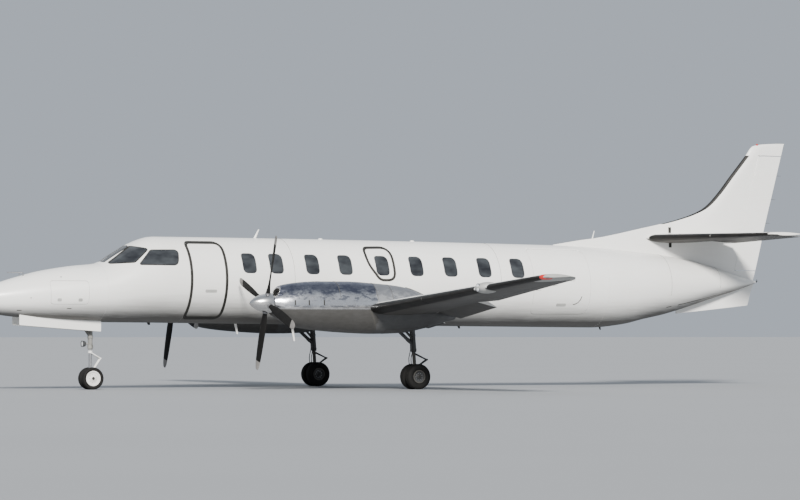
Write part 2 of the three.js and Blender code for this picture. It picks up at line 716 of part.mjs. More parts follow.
// The shell behind the front bulkhead is three barrels, which meet at two production joints.
const barrels = {
  cockpit_shell: [FRONT_BULKHEAD - 1, COCKPIT_END - SEAT_GAP],
  cabin_shell_forward: [COCKPIT_END, CABIN_JOINT - SEAT_GAP],
  cabin_shell_aft: [CABIN_JOINT, REAR_BULKHEAD + 1],
};
for (const [name, [from, to]] of Object.entries(barrels)) {
  place(name, cabin.intersect(block(from, to, -1000, 1000, 1000, 3200)), WHITE);
}

// Wing panels, flaps, ailerons and tips, made for the port side
const upwardsWing = new THREE.Vector3(0, 0, 500);
const fuselageRoom = fuselage(6000, 10500, SEAT_GAP);
let wing = loft([wingLoop(WING_ROOT_SPAN), wingLoop(WING_TIP_SPAN)]);
wing = wing.subtract(fuselageRoom).add(jackingPad(WING_PAD));
let wingTip = loft([
  wingLoop(WING_TIP_SPAN + SEAT_GAP),
  wingLoop(8480, 0, 0.84, 0.95),
  wingLoop(8600, 0, 0.76, 0.86),
  wingLoop(8660, 0, 0.64, 0.68),
  wingLoop(HALF_SPAN, 0, 0.53, 0.4),
]);
wingTip = wingTip.add(
  bar(at(...TIP_LAMP.front), at(...TIP_LAMP.back), TIP_LAMP.radius * 0.55, TIP_LAMP.radius, 6),
);

function wingSurface(spans, travel) {
  const [start, end] = spans.map(wingHinge);
  const noses = spans.map((span) => (wingHalfDepth(span) * 1.02) / Math.cos(travel / 2) + 2);
  const space = [start, end, ...noses, 1200, upwardsWing];
  return {
    axis: { start, end },
    noses,
    moving: aftOfHinge(...space, 0, 0),
    room: aftOfHinge(...space, MOVING_GAP, WING_END_GAP),
  };
}

const wingPanel = wing;
const surfaces = {};
for (const [name, spans, travel] of [
  ['flap_inner', INNER_FLAP, FLAP_TRAVEL],
  ['flap_outer', OUTER_FLAP, FLAP_TRAVEL],
  ['aileron', AILERON, 2 * AILERON_TRAVEL],
]) {
  const surface = wingSurface(spans, travel);
  wing = wing.subtract(surface.room);
  let moving = wingPanel.intersect(surface.moving);
  [wing, moving] = hang(wing, moving, surface.axis, { endGap: WING_END_GAP });
  if (name !== 'aileron') moving = turned(moving, surface.axis.start, surface.axis.end, -FLAP_DROOP);
  surfaces[name] = moving;
}

// The landing lamp stands in a raised fairing on the leading edge.
const lampSection = (span, share) => {
  const middle = at(wingLead(span) + 150, span, wingHeight(span) + 12);
  const loop = [];
  for (let side = 0; side < 10; side += 1) {
    const angle = (2 * Math.PI * side) / 10;
    const offset = new THREE.Vector3(230 * share * Math.cos(angle), 0, 105 * share * Math.sin(angle));
    loop.push(middle.clone().add(offset));
  }
  return loop;
};
const lampSpans = [[-190, 0.3], [-140, 0.8], [0, 1], [140, 0.8], [190, 0.3]];
const lampFairing = loft(
  lampSpans.map(([offset, share]) => lampSection(LANDING_LAMP_SPAN + offset, share)),
);
const wingRoom = loft([wingLoop(WING_ROOT_SPAN, SEAT_GAP), wingLoop(WING_TIP_SPAN, SEAT_GAP)]);
const lampReach = [LANDING_LAMP_SPAN - 400, LANDING_LAMP_SPAN + 400];
const lamp = lampFairing.subtract(wingRoom).subtract(
  block(wingLead(LANDING_LAMP_SPAN) + 420, 8500, ...lampReach, 1500, 2300),
);

// Nacelle, with its intake, exhaust, gear bay and the engine that fills its bay
function nacelle(from, to, grow = 0) {
  return hull(NACELLE, NACELLE_COLUMNS, from, to, NACELLE_SPAN, grow, 24);
}

const nacelleEnd = NACELLE[NACELLE.length - 1][0];
const scoop = hull(SCOOP, SCOOP_COLUMNS, 5275, 5900, NACELLE_SPAN, 0, 14);
let cowling = nacelle(NACELLE_FRONT, nacelleEnd).add(scoop);
const engineAt = (station, height = ENGINE.height) => at(station, NACELLE_SPAN, height);
const engineRoom = bar(
  engineAt(ENGINE.front - SEAT_GAP),
  engineAt(ENGINE.back + SEAT_GAP),
  ENGINE.radius + 2 * SEAT_GAP, undefined, ENGINE.sides,
);
let engine = bar(engineAt(ENGINE.front), engineAt(ENGINE.back), ENGINE.radius, undefined, ENGINE.sides);
const shaftEnd = ENGINE.front + 110;
engine = engine.subtract(
  bar(
    engineAt(ENGINE.front - 5, PROPELLER_HEIGHT), engineAt(shaftEnd + 6, PROPELLER_HEIGHT),
    SHAFT_RADIUS + PIN_SLACK, undefined, 16,
  ),
);
cowling = cowling.subtract(engineRoom);
cowling = cowling.subtract(
  bar(
    engineAt(NACELLE_FRONT - 5, PROPELLER_HEIGHT), engineAt(ENGINE.front + 5, PROPELLER_HEIGHT),
    SHAFT_RADIUS + 20, undefined, 12,
  ),
);
cowling = cowling.subtract(wingRoom);
const mouth = (station) => {
  const frame = {
    station,
    top: INTAKE.height + INTAKE.halfHeight,
    bottom: INTAKE.height - INTAKE.halfHeight,
    halfWidth: INTAKE.halfWidth,
    widest: INTAKE.height,
  };
  return frameLoop(frame, NACELLE_SPAN, 0, 12);
};
cowling = cowling.subtract(loft([mouth(INTAKE.from), mouth(INTAKE.to)]));
cowling = cowling.subtract(
  bar(
    engineAt(EXHAUST.from, EXHAUST.height), engineAt(EXHAUST.to, EXHAUST.height),
    EXHAUST.radius, undefined, 12,
  ),
);

// Main landing gear: a slanted leg with a brace and torque links, and a twin wheel on one axle
const legTop = engineAt(8165, 1290);
const legMiddle = engineAt(8208, 770);
const axleCentre = engineAt(MAIN_STATION, MAIN_TYRE.radius);
const braceTop = engineAt(7790, 1215);
const braceEnd = engineAt(8208, 850);
const across = (distance) => new THREE.Vector3(0, distance, 0);
const mainLegParts = [
  bar(legTop, legMiddle, 48, 48, 10),
  bar(legMiddle.clone().lerp(legTop, 0.1), axleCentre, 30, 30, 10),
  bar(braceTop, braceEnd, 19, 19, 8),
  bar(engineAt(8215, 735), engineAt(8490, 560), 17, 14, 8),
  bar(engineAt(8490, 560), engineAt(8250, 330), 14, 16, 8),
  bar(engineAt(8490, 560).add(across(-24)), engineAt(8490, 560).add(across(24)), 20, 20, 8),
  bar(axleCentre.clone().add(across(-28)), axleCentre.clone().add(across(28)), 34, 34, 12),
];
const axleBore = (centre, radius) => bar(
  centre.clone().add(across(-60)), centre.clone().add(across(60)), radius + PIN_SLACK, undefined, 12,
);
const mainLeg = joined(mainLegParts).subtract(axleBore(axleCentre, MAIN_AXLE_RADIUS));
const socketFor = (start, end, radius, sides) => bar(start, end, radius + SEAT_GAP * 1.5, undefined, sides);
cowling = cowling.subtract(socketFor(legTop.clone().lerp(legMiddle, -0.002), legMiddle, 48, 10));
cowling = cowling.subtract(socketFor(braceTop.clone().lerp(braceEnd, -0.002), braceEnd, 19, 8));

// A ring turned about the span: each profile point is a radius and a distance along the axle.
function wheelRing(profile, centre) {
  const points = profile.map(([radius, along]) => new THREE.Vector2(radius, along));
  const geometry = new THREE.LatheGeometry(points, TYRE_SIDES);
  geometry.rotateY(Math.PI / TYRE_SIDES);
  geometry.translate(centre.x, centre.y, centre.z);
  const solid = solidFrom(geometry);
  return solid;
}

function tyreAt(tyre, centre) {
  const flat = 1 / Math.cos(Math.PI / TYRE_SIDES);
  const half = tyre.width / 2;
  const depth = tyre.radius - tyre.rim;
  const bead = tyre.rim + SEAT_GAP + 0.1;
  const side = [
    [bead * flat, half * 0.7],
    [(tyre.rim + depth * 0.2) * flat, half * 0.94],
    [(tyre.rim + depth * 0.55) * flat, half],
    [(tyre.rim + depth * 0.86) * flat, half * 0.84],
    [tyre.radius * flat, half * 0.42],
  ];
  const other = side.map(([radius, along]) => [radius, -along]).reverse();
  return wheelRing([...side, ...other, side[0]], centre);
}

function wheelsOnAxle(tyre, axleRadius, centre) {
  const half = tyre.width * 0.35;
  const flat = 1 / Math.cos(Math.PI / TYRE_SIDES);
  const hub = [
    [0, -half],
    [tyre.rim * flat, -half],
    [tyre.rim * flat, half],
    [tyre.rim * 0.84, half],
    [tyre.rim * 0.76, half * 0.6],
    [tyre.rim * 0.3, half * 0.6],
    [0, half * 1.1],
  ];
  const inboard = hub.map(([radius, along]) => [radius, -along]).reverse();
  const offset = across(tyre.spacing / 2);
  return joined([
    bar(centre.clone().sub(offset), centre.clone().add(offset), axleRadius, axleRadius, 12),
    wheelRing(hub, centre.clone().add(offset)),
    wheelRing(inboard, centre.clone().sub(offset)),
  ]);
}

// Nose gear: the upper leg is fixed in its well, and the piston below it steers
const noseAt = (station, height, span = 0) => at(station, span, height);
const noseAxle = noseAt(NOSE_STATION, NOSE_TYRE.radius);
const PISTON = { radius: 30, top: 980, collar: 752, collarRadius: 42 };
const noseLeg = joined([
  bar(noseAt(STEERING_STATION, 768), noseAt(STEERING_STATION, NOSE_WELL.roof - SEAT_GAP), 46, 46, 12),
  bar(noseAt(1990, NOSE_WELL.roof - 22), noseAt(STEERING_STATION, 1010), 18, 18, 8),
  bar(noseAt(2225, 880), noseAt(2300, 880), 62, 44, 12),
  bar(noseAt(2290, 880), noseAt(STEERING_STATION, 880), 16, 16, 8),
]).subtract(bar(
  noseAt(STEERING_STATION, 700), noseAt(STEERING_STATION, PISTON.top + 4),
  PISTON.radius + PIN_SLACK, undefined, 16,
));
const nosePiston = joined([
  bar(noseAt(STEERING_STATION, 190), noseAt(STEERING_STATION, PISTON.top), PISTON.radius),
  bar(
    noseAt(STEERING_STATION, 700), noseAt(STEERING_STATION, PISTON.collar),
    PISTON.collarRadius, undefined, 12,
  ),
  bar(noseAt(STEERING_STATION, 715), noseAt(2605, 600), 15, 13, 8),
  bar(noseAt(2605, 600), noseAt(2420, 330), 13, 14, 8),
  bar(noseAt(2605, 600, -20), noseAt(2605, 600, 20), 18, 18, 8),
  bar(noseAt(NOSE_STATION, NOSE_TYRE.radius, -28), noseAt(NOSE_STATION, NOSE_TYRE.radius, 28), 32, 32, 12),
]).subtract(axleBore(noseAxle, NOSE_AXLE_RADIUS));
const noseDoorPanel = sidePrism(
  [[878, 1480, 10], [2541, 1380, 10], [2541, 1117, 60], [878, 1240, 40]], NOSE_DOOR.inner, NOSE_DOOR.outer,
).subtract(fuselage(RADOME_END, 3000, SEAT_GAP));

// Propeller: four twisted blades on a hub and shaft, with a spinner over the hub.
// Each row is one section of a blade.
const BLADE_COLUMNS = ['radius', 'chord', 'thickness', 'pitch'];
const BLADE = [
  [60, 84, 84, 40],
  [215, 84, 84, 40],
  [330, 128, 52, 38],
  [560, 188, 30, 30],
  [940, 204, 20, 22],
  [1240, 170, 13, 17],
  [PROPELLER_RADIUS - 8, 96, 8, 15],
  [PROPELLER_RADIUS, 50, 6, 15],
];

function bladeSolid(centre, angle) {
  const outwards = new THREE.Vector3(0, -Math.sin(angle), Math.cos(angle));
  const ahead = new THREE.Vector3(1, 0, 0);
  const acrossBlade = outwards.clone().cross(ahead);
  const loops = BLADE.map((values) => {
    const row = named(values, BLADE_COLUMNS);
    const pitch = THREE.MathUtils.degToRad(row.pitch);
    const chordwise = acrossBlade.clone().multiplyScalar(Math.cos(pitch));
    chordwise.addScaledVector(ahead, Math.sin(pitch));
    const through = chordwise.clone().cross(outwards);
    const loop = [];
    for (let side = 0; side < 8; side += 1) {
      const turn = (2 * Math.PI * side) / 8;
      loop.push(centre.clone()
        .addScaledVector(outwards, row.radius)
        .addScaledVector(chordwise, (row.chord / 2) * Math.cos(turn))
        .addScaledVector(through, (row.thickness / 2) * Math.sin(turn)));
    }
    return loop;
  });
  return loft(loops);
}

const HUB = { front: 5000, back: 5150, radius: 100 };
const propellerCentre = engineAt(PROPELLER_STATION, PROPELLER_HEIGHT);
const shaft = (radius, extra) => bar(
  engineAt(HUB.back - 20, PROPELLER_HEIGHT), engineAt(shaftEnd + extra, PROPELLER_HEIGHT),
  radius, undefined, 16,
);
const hubSolid = (grow) => bar(
  engineAt(HUB.front - grow, PROPELLER_HEIGHT), engineAt(HUB.back + grow, PROPELLER_HEIGHT),
  HUB.radius + grow, undefined, 12,
);
const spinnerProfile = [];
for (let step = 0; step <= 5; step += 1) {
  const share = step / 5;
  const forward = (SPINNER_BACK - SPINNER_TIP) * share;
  spinnerProfile.push(new THREE.Vector2(SPINNER_RADIUS * (1 - share ** 2) ** 0.75, forward));
}
spinnerProfile.unshift(new THREE.Vector2(0, 0));
spinnerProfile[spinnerProfile.length - 1].x = 0;
const spinnerGeometry = new THREE.LatheGeometry(spinnerProfile, 16);
spinnerGeometry.rotateZ(-Math.PI / 2);
const spinnerBase = engineAt(SPINNER_BACK, PROPELLER_HEIGHT);
spinnerGeometry.translate(spinnerBase.x, spinnerBase.y, spinnerBase.z);
let spinner = solidFrom(spinnerGeometry).subtract(hubSolid(0.5)).subtract(shaft(SHAFT_RADIUS + 0.8, 0));
const blades = [];
for (let blade = 0; blade < BLADE_COUNT; blade += 1) {
  const angle = PROPELLER_TILT + (2 * Math.PI * blade) / BLADE_COUNT;
  blades.push(bladeSolid(propellerCentre, angle));
  const outwards = new THREE.Vector3(0, -Math.sin(angle), Math.cos(angle));
  const rootEnd = propellerCentre.clone().addScaledVector(outwards, 300);
  spinner = spinner.subtract(bar(propellerCentre, rootEnd, 54, 54, 8));
}
const propeller = joined([hubSolid(0), shaft(SHAFT_RADIUS, 0), ...blades]);
const toStarboard = new THREE.Matrix4().makeTranslation(0, -2 * NACELLE_SPAN, 0);

for (const [word, side] of [['left', (solid) => solid], ['right', mirrored]]) {
  place(`wing_${word}`, side(wing), WHITE);
  place(`wing_tip_${word}`, side(wingTip), GREY);
  for (const [name, moving] of Object.entries(surfaces)) place(`${name}_${word}`, side(moving), WHITE);
  place(`landing_lamp_${word}`, side(lamp), GREY);
  place(`nacelle_${word}`, side(cowling), BARE_METAL);
  place(`engine_${word}`, side(engine), DARK_METAL);
  place(`main_leg_${word}`, side(mainLeg), DARK_METAL);
  place(`main_wheels_${word}`, side(wheelsOnAxle(MAIN_TYRE, MAIN_AXLE_RADIUS, axleCentre)), GREY);
  for (const [end, offset] of [['outer', MAIN_TYRE.spacing / 2], ['inner', -MAIN_TYRE.spacing / 2]]) {
    const tyre = tyreAt(MAIN_TYRE, axleCentre.clone().add(across(offset)));
    place(`main_tyre_${end}_${word}`, side(tyre), TYRE_RUBBER);
  }
  const noseOffset = across((word === 'left' ? 1 : -1) * (NOSE_TYRE.spacing / 2));
  place(`nose_tyre_${word}`, tyreAt(NOSE_TYRE, noseAxle.clone().add(noseOffset)), TYRE_RUBBER);
  place(`nose_gear_door_${word}`, side(noseDoorPanel), WHITE);
  const shifted = (solid) => (word === 'left' ? solid : moved(solid, toStarboard));
  place(`propeller_${word}`, shifted(propeller), BLACK);
  place(`spinner_${word}`, shifted(spinner), CHROME);
}
place('nose_leg', noseLeg, WHITE);
place('nose_piston', nosePiston, WHITE);
place('nose_wheels', wheelsOnAxle(NOSE_TYRE, NOSE_AXLE_RADIUS, noseAxle), WHITE);

export default aircraft;
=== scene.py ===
# %% [markdown]
# A turboprop airliner, dressed piece by piece
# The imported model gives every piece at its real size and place. This lesson gives each one its smooth form,
# its fittings and its finish. Lengths along the aircraft are stations: metres aft of the tip of the nose.

# %% Load the frame and keep its box
import math

import bmesh
import bpy
from mathutils import Matrix, Vector


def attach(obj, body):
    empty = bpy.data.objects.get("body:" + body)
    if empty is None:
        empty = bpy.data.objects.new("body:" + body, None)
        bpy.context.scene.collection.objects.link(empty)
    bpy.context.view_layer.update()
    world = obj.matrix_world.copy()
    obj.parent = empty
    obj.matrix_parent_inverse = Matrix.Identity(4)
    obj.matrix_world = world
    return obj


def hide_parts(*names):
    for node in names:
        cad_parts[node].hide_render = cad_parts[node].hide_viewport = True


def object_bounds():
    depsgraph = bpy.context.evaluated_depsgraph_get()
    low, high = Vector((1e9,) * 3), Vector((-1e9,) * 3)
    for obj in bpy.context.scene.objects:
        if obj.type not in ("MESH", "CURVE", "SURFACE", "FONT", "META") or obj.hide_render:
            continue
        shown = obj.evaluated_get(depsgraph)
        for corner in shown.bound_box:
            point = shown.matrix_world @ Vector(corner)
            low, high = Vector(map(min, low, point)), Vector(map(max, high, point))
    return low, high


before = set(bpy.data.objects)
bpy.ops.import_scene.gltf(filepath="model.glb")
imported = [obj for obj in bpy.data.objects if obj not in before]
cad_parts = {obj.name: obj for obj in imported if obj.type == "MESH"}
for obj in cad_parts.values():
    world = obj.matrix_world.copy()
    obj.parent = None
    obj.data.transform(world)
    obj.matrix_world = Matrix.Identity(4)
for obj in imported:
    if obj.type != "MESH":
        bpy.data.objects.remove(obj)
cad_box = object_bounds()
cad_low, cad_high = (Vector(corner) for corner in cad_box)
LENGTH = cad_high.x - cad_low.x
NOSE_X = cad_high.x
print("frame:", len(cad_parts), "nodes, length", round(LENGTH, 2))

# %% [markdown]
# The camera stands 75 m away on the port side, a little ahead of the wing and 1.16 m up, with a long lens.
# At that distance the near and the far side have almost the same scale, as in the photograph. The angles were
# measured from known points of the aircraft, so the lens is aimed, and nothing is shifted.

# %% Camera
CAMERA_DISTANCE = 74.779
CAMERA_HEIGHT = 1.1565
CAMERA_FORWARD_ANGLE = math.radians(26.327)
CAMERA_PITCH = math.radians(1.2216)
CAMERA_ROLL = math.radians(0.036)
AIM_STATION = 9.044
FOCAL_PIXELS = 3734.3
IMAGE_WIDTH = 800
SENSOR_WIDTH = 36.0

aim_x = NOSE_X - AIM_STATION
camera_place = Vector((
    aim_x + CAMERA_DISTANCE * math.sin(CAMERA_FORWARD_ANGLE),
    CAMERA_DISTANCE * math.cos(CAMERA_FORWARD_ANGLE),
    CAMERA_HEIGHT,
))
look = Vector((
    -math.sin(CAMERA_FORWARD_ANGLE) * math.cos(CAMERA_PITCH),
    -math.cos(CAMERA_FORWARD_ANGLE) * math.cos(CAMERA_PITCH),
    math.sin(CAMERA_PITCH),
))
lens = bpy.data.cameras.new("long_lens")
lens.sensor_width = SENSOR_WIDTH
lens.lens = SENSOR_WIDTH * FOCAL_PIXELS / IMAGE_WIDTH
lens.clip_end = 2000
camera = bpy.data.objects.new("camera", lens)
bpy.context.scene.collection.objects.link(camera)
camera.matrix_world = (
    Matrix.Translation(camera_place)
    @ look.to_track_quat("-Z", "Y").to_matrix().to_4x4()
    @ Matrix.Rotation(CAMERA_ROLL, 4, "Z")
)
bpy.context.scene.camera = camera
print("camera at", [round(value, 2) for value in camera_place], "lens", round(lens.lens, 1))

# %% [markdown]
# The studio is a plain pale floor under a pale sky. The light in the photograph comes from the port side, a little
# ahead of the aircraft and about a third of the way up. A sun lamp with a wide disc gives the same direction with soft
# edges, and it lights the floor evenly as far as the horizon. A weaker one behind lifts the far side.

# %% Floor, sky and lamps
FLOOR_SIZE = 900.0


def add_floor():
    mesh = bpy.data.meshes.new("floor")
    half = FLOOR_SIZE / 2
    mesh.from_pydata(
        [(-half, -half, 0), (half, -half, 0), (half, half, 0), (-half, half, 0)], [], [(0, 1, 2, 3)],
    )
    floor = bpy.data.objects.new("floor", mesh)
    bpy.context.scene.collection.objects.link(floor)
    return floor


def add_sun(name, forward, height, strength, disc, tint):
    """A sun lamp: its direction forward of abeam and above the floor, and the width of its disc, in degrees."""
    light = bpy.data.lights.new(name, "SUN")
    light.energy = strength
    light.angle = math.radians(disc)
    light.color = tint
    lamp = bpy.data.objects.new(name, light)
    bpy.context.scene.collection.objects.link(lamp)
    forward, height = math.radians(forward), math.radians(height)
    towards = Vector((
        math.cos(height) * math.sin(forward),
        math.cos(height) * math.cos(forward),
        math.sin(height),
    ))
    lamp.matrix_world = towards.to_track_quat("Z", "Y").to_matrix().to_4x4()


floor = add_floor()
add_sun("key_sun", 21, 30, 7.4, 12, (1.0, 0.975, 0.93))
add_sun("far_fill", 200, 40, 0.3, 60, (0.93, 0.96, 1.0))
print("studio: one floor and two soft suns")

# %% [markdown]
# Finishes are sums of noise, position and ramps. Written node by node they are hard to read, so a small class
# wraps a socket and lets Python's own operators add the Math nodes. One method makes every other node.

# %% Shader maths
class Value:
    """A socket that can be used in an expression."""

    def __init__(self, graph, socket):
        self.graph = graph
        self.socket = socket

    def _math(self, operation, *others, swapped=False):
        values = [self, *others]
        if swapped:
            values.reverse()
        return self.graph.node("ShaderNodeMath", {"operation": operation}, dict(enumerate(values)))

    def __add__(self, other):
        return self._math("ADD", other)

    __radd__ = __add__

    def __sub__(self, other):
        return self._math("SUBTRACT", other)

    def __rsub__(self, other):
        return self._math("SUBTRACT", other, swapped=True)

    def __mul__(self, other):
        return self._math("MULTIPLY", other)

    __rmul__ = __mul__

    def __truediv__(self, other):
        return self._math("DIVIDE", other)

    def __rtruediv__(self, other):
        return self._math("DIVIDE", other, swapped=True)

    def __pow__(self, other):
        return self._math("POWER", other)

    def __gt__(self, other):
        return self._math("GREATER_THAN", other)

    def __lt__(self, other):
        return self._math("LESS_THAN", other)

    def __abs__(self):
        return self._math("ABSOLUTE")

    def most(self, other):
        return self._math("MAXIMUM", other)

    def least(self, other):
        return self._math("MINIMUM", other)

    def ramp(self, low, high, start=0.0, end=1.0):
        """start below low, end above high, and an even change between them."""
        sockets = {"Value": self, "From Min": low, "From Max": high, "To Min": start, "To Max": end}
        return self.graph.node("ShaderNodeMapRange", {"clamp": True}, sockets)

    def near(self, centre, half_width, softness):
        """1 within half_width of centre, falling to 0 over softness."""
        return abs(self - centre).ramp(half_width, half_width + softness, 1.0, 0.0)


class Finish:
    """A material whose nodes are added by expressions."""

    def __init__(self, name):
        self.material = bpy.data.materials.new(name)
        self.material.use_nodes = True
        self.tree = self.material.node_tree
        self.shader = next(node for node in self.tree.nodes if node.type == "BSDF_PRINCIPLED")

    def node(self, kind, settings, inputs, output=0):
        made = self.tree.nodes.new(kind)
        for setting, value in settings.items():
            setattr(made, setting, value)
        for key, value in inputs.items():
            self.feed(made.inputs[key], value)
        return Value(self, made.outputs[output])

    def feed(self, socket, value):
        if isinstance(value, Value):
            self.tree.links.new(value.socket, socket)
        else:
            socket.default_value = value

    def position(self):
        return self.node("ShaderNodeTexCoord", {}, {}, "Object")

    def axes(self, vector):
        split = self.node("ShaderNodeSeparateXYZ", {}, {"Vector": vector})
        return [Value(self, split.socket.node.outputs[axis]) for axis in range(3)]

    def underside(self):
        """How far the skin faces down, from 0 to 1, as kept on the mesh."""
        return self.node("ShaderNodeAttribute", {"attribute_name": "underside"}, {}, "Fac")

    def stretched(self, vector, scale):
        return self.node("ShaderNodeMapping", {}, {"Vector": vector, "Scale": scale})

    def noise(self, vector, scale, detail=3.0, roughness=0.5):
        sockets = {"Vector": vector, "Scale": scale, "Detail": detail, "Roughness": roughness}
        return self.node("ShaderNodeTexNoise", {}, sockets, "Fac")

    def blend(self, share, first, second):
        """first where share is 0 and second where it is 1."""
        mix = self.tree.nodes.new("ShaderNodeMix")
        mix.data_type = "RGBA"
        for key, value in (("Factor_Float", share), ("A_Color", first), ("B_Color", second)):
            self.feed(next(socket for socket in mix.inputs if socket.identifier == key), value)
        return Value(self, next(socket for socket in mix.outputs if socket.identifier == "Result_Color"))

    def raise_by(self, height, strength, distance):
        sockets = {"Height": height, "Strength": strength, "Distance": distance}
        self.set("Normal", self.node("ShaderNodeBump", {}, sockets))

    def set(self, name, value):
        self.feed(self.shader.inputs[name], value)


def colour(red, green, blue):
    return (red, green, blue, 1.0)


print("shader helpers ready")

# %% [markdown]
# Every finish is procedural and reads the piece's own place, so a streak or a scratch keeps its real size on
# every part. Metal and paint on an aircraft are never even: rain leaves grey films, and hands leave dull patches.
# Skin that faces down, on the belly and under the wings and the tail, is painted nearly black: painted shade, with
# some dirt from the wheels and the engines in it.

# %% Paint
WHITE_TOP = colour(0.86, 0.855, 0.83)
WHITE_AGED = colour(0.77, 0.755, 0.71)
# Near-black colours for skin that faces down: painted shade, with a little dirt in it.
BELLY_SHADE_AND_DIRT = colour(0.034, 0.030, 0.024)
UNDERSIDE_SHADE_AND_DIRT = colour(0.022, 0.019, 0.015)


def white_paint(name, shade_and_dirt, plain_until, darkest_from, most):
    """Warm white gloss paint. The further the skin faces down, the darker it is painted: painted shade, with some
    dirt.
    """
    finish = Finish(name)
    place = finish.position()
    cloud = finish.noise(place, 0.9, 4.0)
    streak = finish.noise(finish.stretched(place, (0.5, 2.0, 7.0)), 3.0, 5.0, 0.6)
    speck = finish.noise(place, 60.0, 2.0)
    aged = (cloud * 0.6 + streak * 0.55 - 0.33).ramp(0.12, 0.6, 0.0, 0.6)
    coat = finish.blend(aged, WHITE_TOP, WHITE_AGED)
    # Painted shade: the more the skin faces down, the darker it is painted, with streaks of dirt along it.
    underside_shade = (finish.underside() + (streak - 0.5) * 0.16).ramp(plain_until, darkest_from, 0.0, 1.0) ** 1.5
    shade_and_grime = (underside_shade * (0.8 + 0.4 * cloud)).least(most)
    finish.set("Base Color", finish.blend(shade_and_grime, coat, shade_and_dirt))
    finish.set("Roughness", 0.24 + streak * 0.16 + speck * 0.05 + shade_and_grime * 0.3)
    finish.set("Coat Weight", 0.25 - shade_and_grime * 0.2)
    finish.set("Coat Roughness", 0.15)
    ripple = finish.noise(finish.stretched(place, (1.0, 1.0, 1.6)), 3.2, 2.0)
    finish.raise_by(ripple * 0.7 + speck * 0.05, 0.12, 0.012)
    return finish.material


def grey_paint(name, light, dark, roughness=0.45):
    finish = Finish(name)
    place = finish.position()
    cloud = finish.noise(place, 5.0, 4.0)
    speck = finish.noise(place, 90.0, 2.0)
    finish.set("Base Color", finish.blend((cloud + speck * 0.25).ramp(0.4, 0.85), light, dark))
    finish.set("Roughness", roughness + cloud * 0.15 + speck * 0.06)
    finish.raise_by(speck * 0.3 + cloud, 0.15, 0.002)
    return finish.material


BODY_WHITE = white_paint("body_white", BELLY_SHADE_AND_DIRT, 0.28, 0.92, 0.93)
SURFACE_WHITE = white_paint("surface_white", UNDERSIDE_SHADE_AND_DIRT, 0.12, 0.75, 0.96)
LIGHT_GREY = grey_paint("light_grey", colour(0.42, 0.42, 0.405), colour(0.32, 0.32, 0.305))
SEAM_DARK = grey_paint("seam_dark", colour(0.05, 0.047, 0.042), colour(0.09, 0.085, 0.075), 0.6)
TRIM_SEAL = grey_paint("trim_seal", colour(0.008, 0.0075, 0.006), colour(0.018, 0.017, 0.014), 0.6)
print("paints made:", BODY_WHITE.name, SURFACE_WHITE.name, LIGHT_GREY.name)

# %% [markdown]
# The cowlings are bare aluminium that has been polished by hand. Polishing leaves cloudy patches and fine marks,
# mostly fore and aft, and oil and soot dull the lower half. Bare aluminium is metallic, so the polish patches change
# roughness far more than colour. The colour also holds painted reflections: dark blue patches of sky on the upper
# half and over the top, a band above the seam kept bright as a painted highlight, and a lower half painted nearly
# black as the ground mirrored in it.

# %% Metals
COWL_BRIGHT = colour(0.78, 0.79, 0.82)
COWL_DULL = colour(0.50, 0.50, 0.52)
# Painted reflections on the cowling: nearly black for the ground in the lower half, with some soot, which also stains
# the skin over the exhaust; dark blue for the sky in the upper half.
COWL_SOOT_AND_REFLECTION = colour(0.030, 0.027, 0.021)
COWL_SKY_REFLECTION = colour(0.070, 0.081, 0.128)
COWL_PAINT = colour(0.125, 0.131, 0.140)
COWL_PAINT_START = NOSE_X - 7.27
COWL_SPLIT = 1.585
NACELLE_SPAN = 2.285


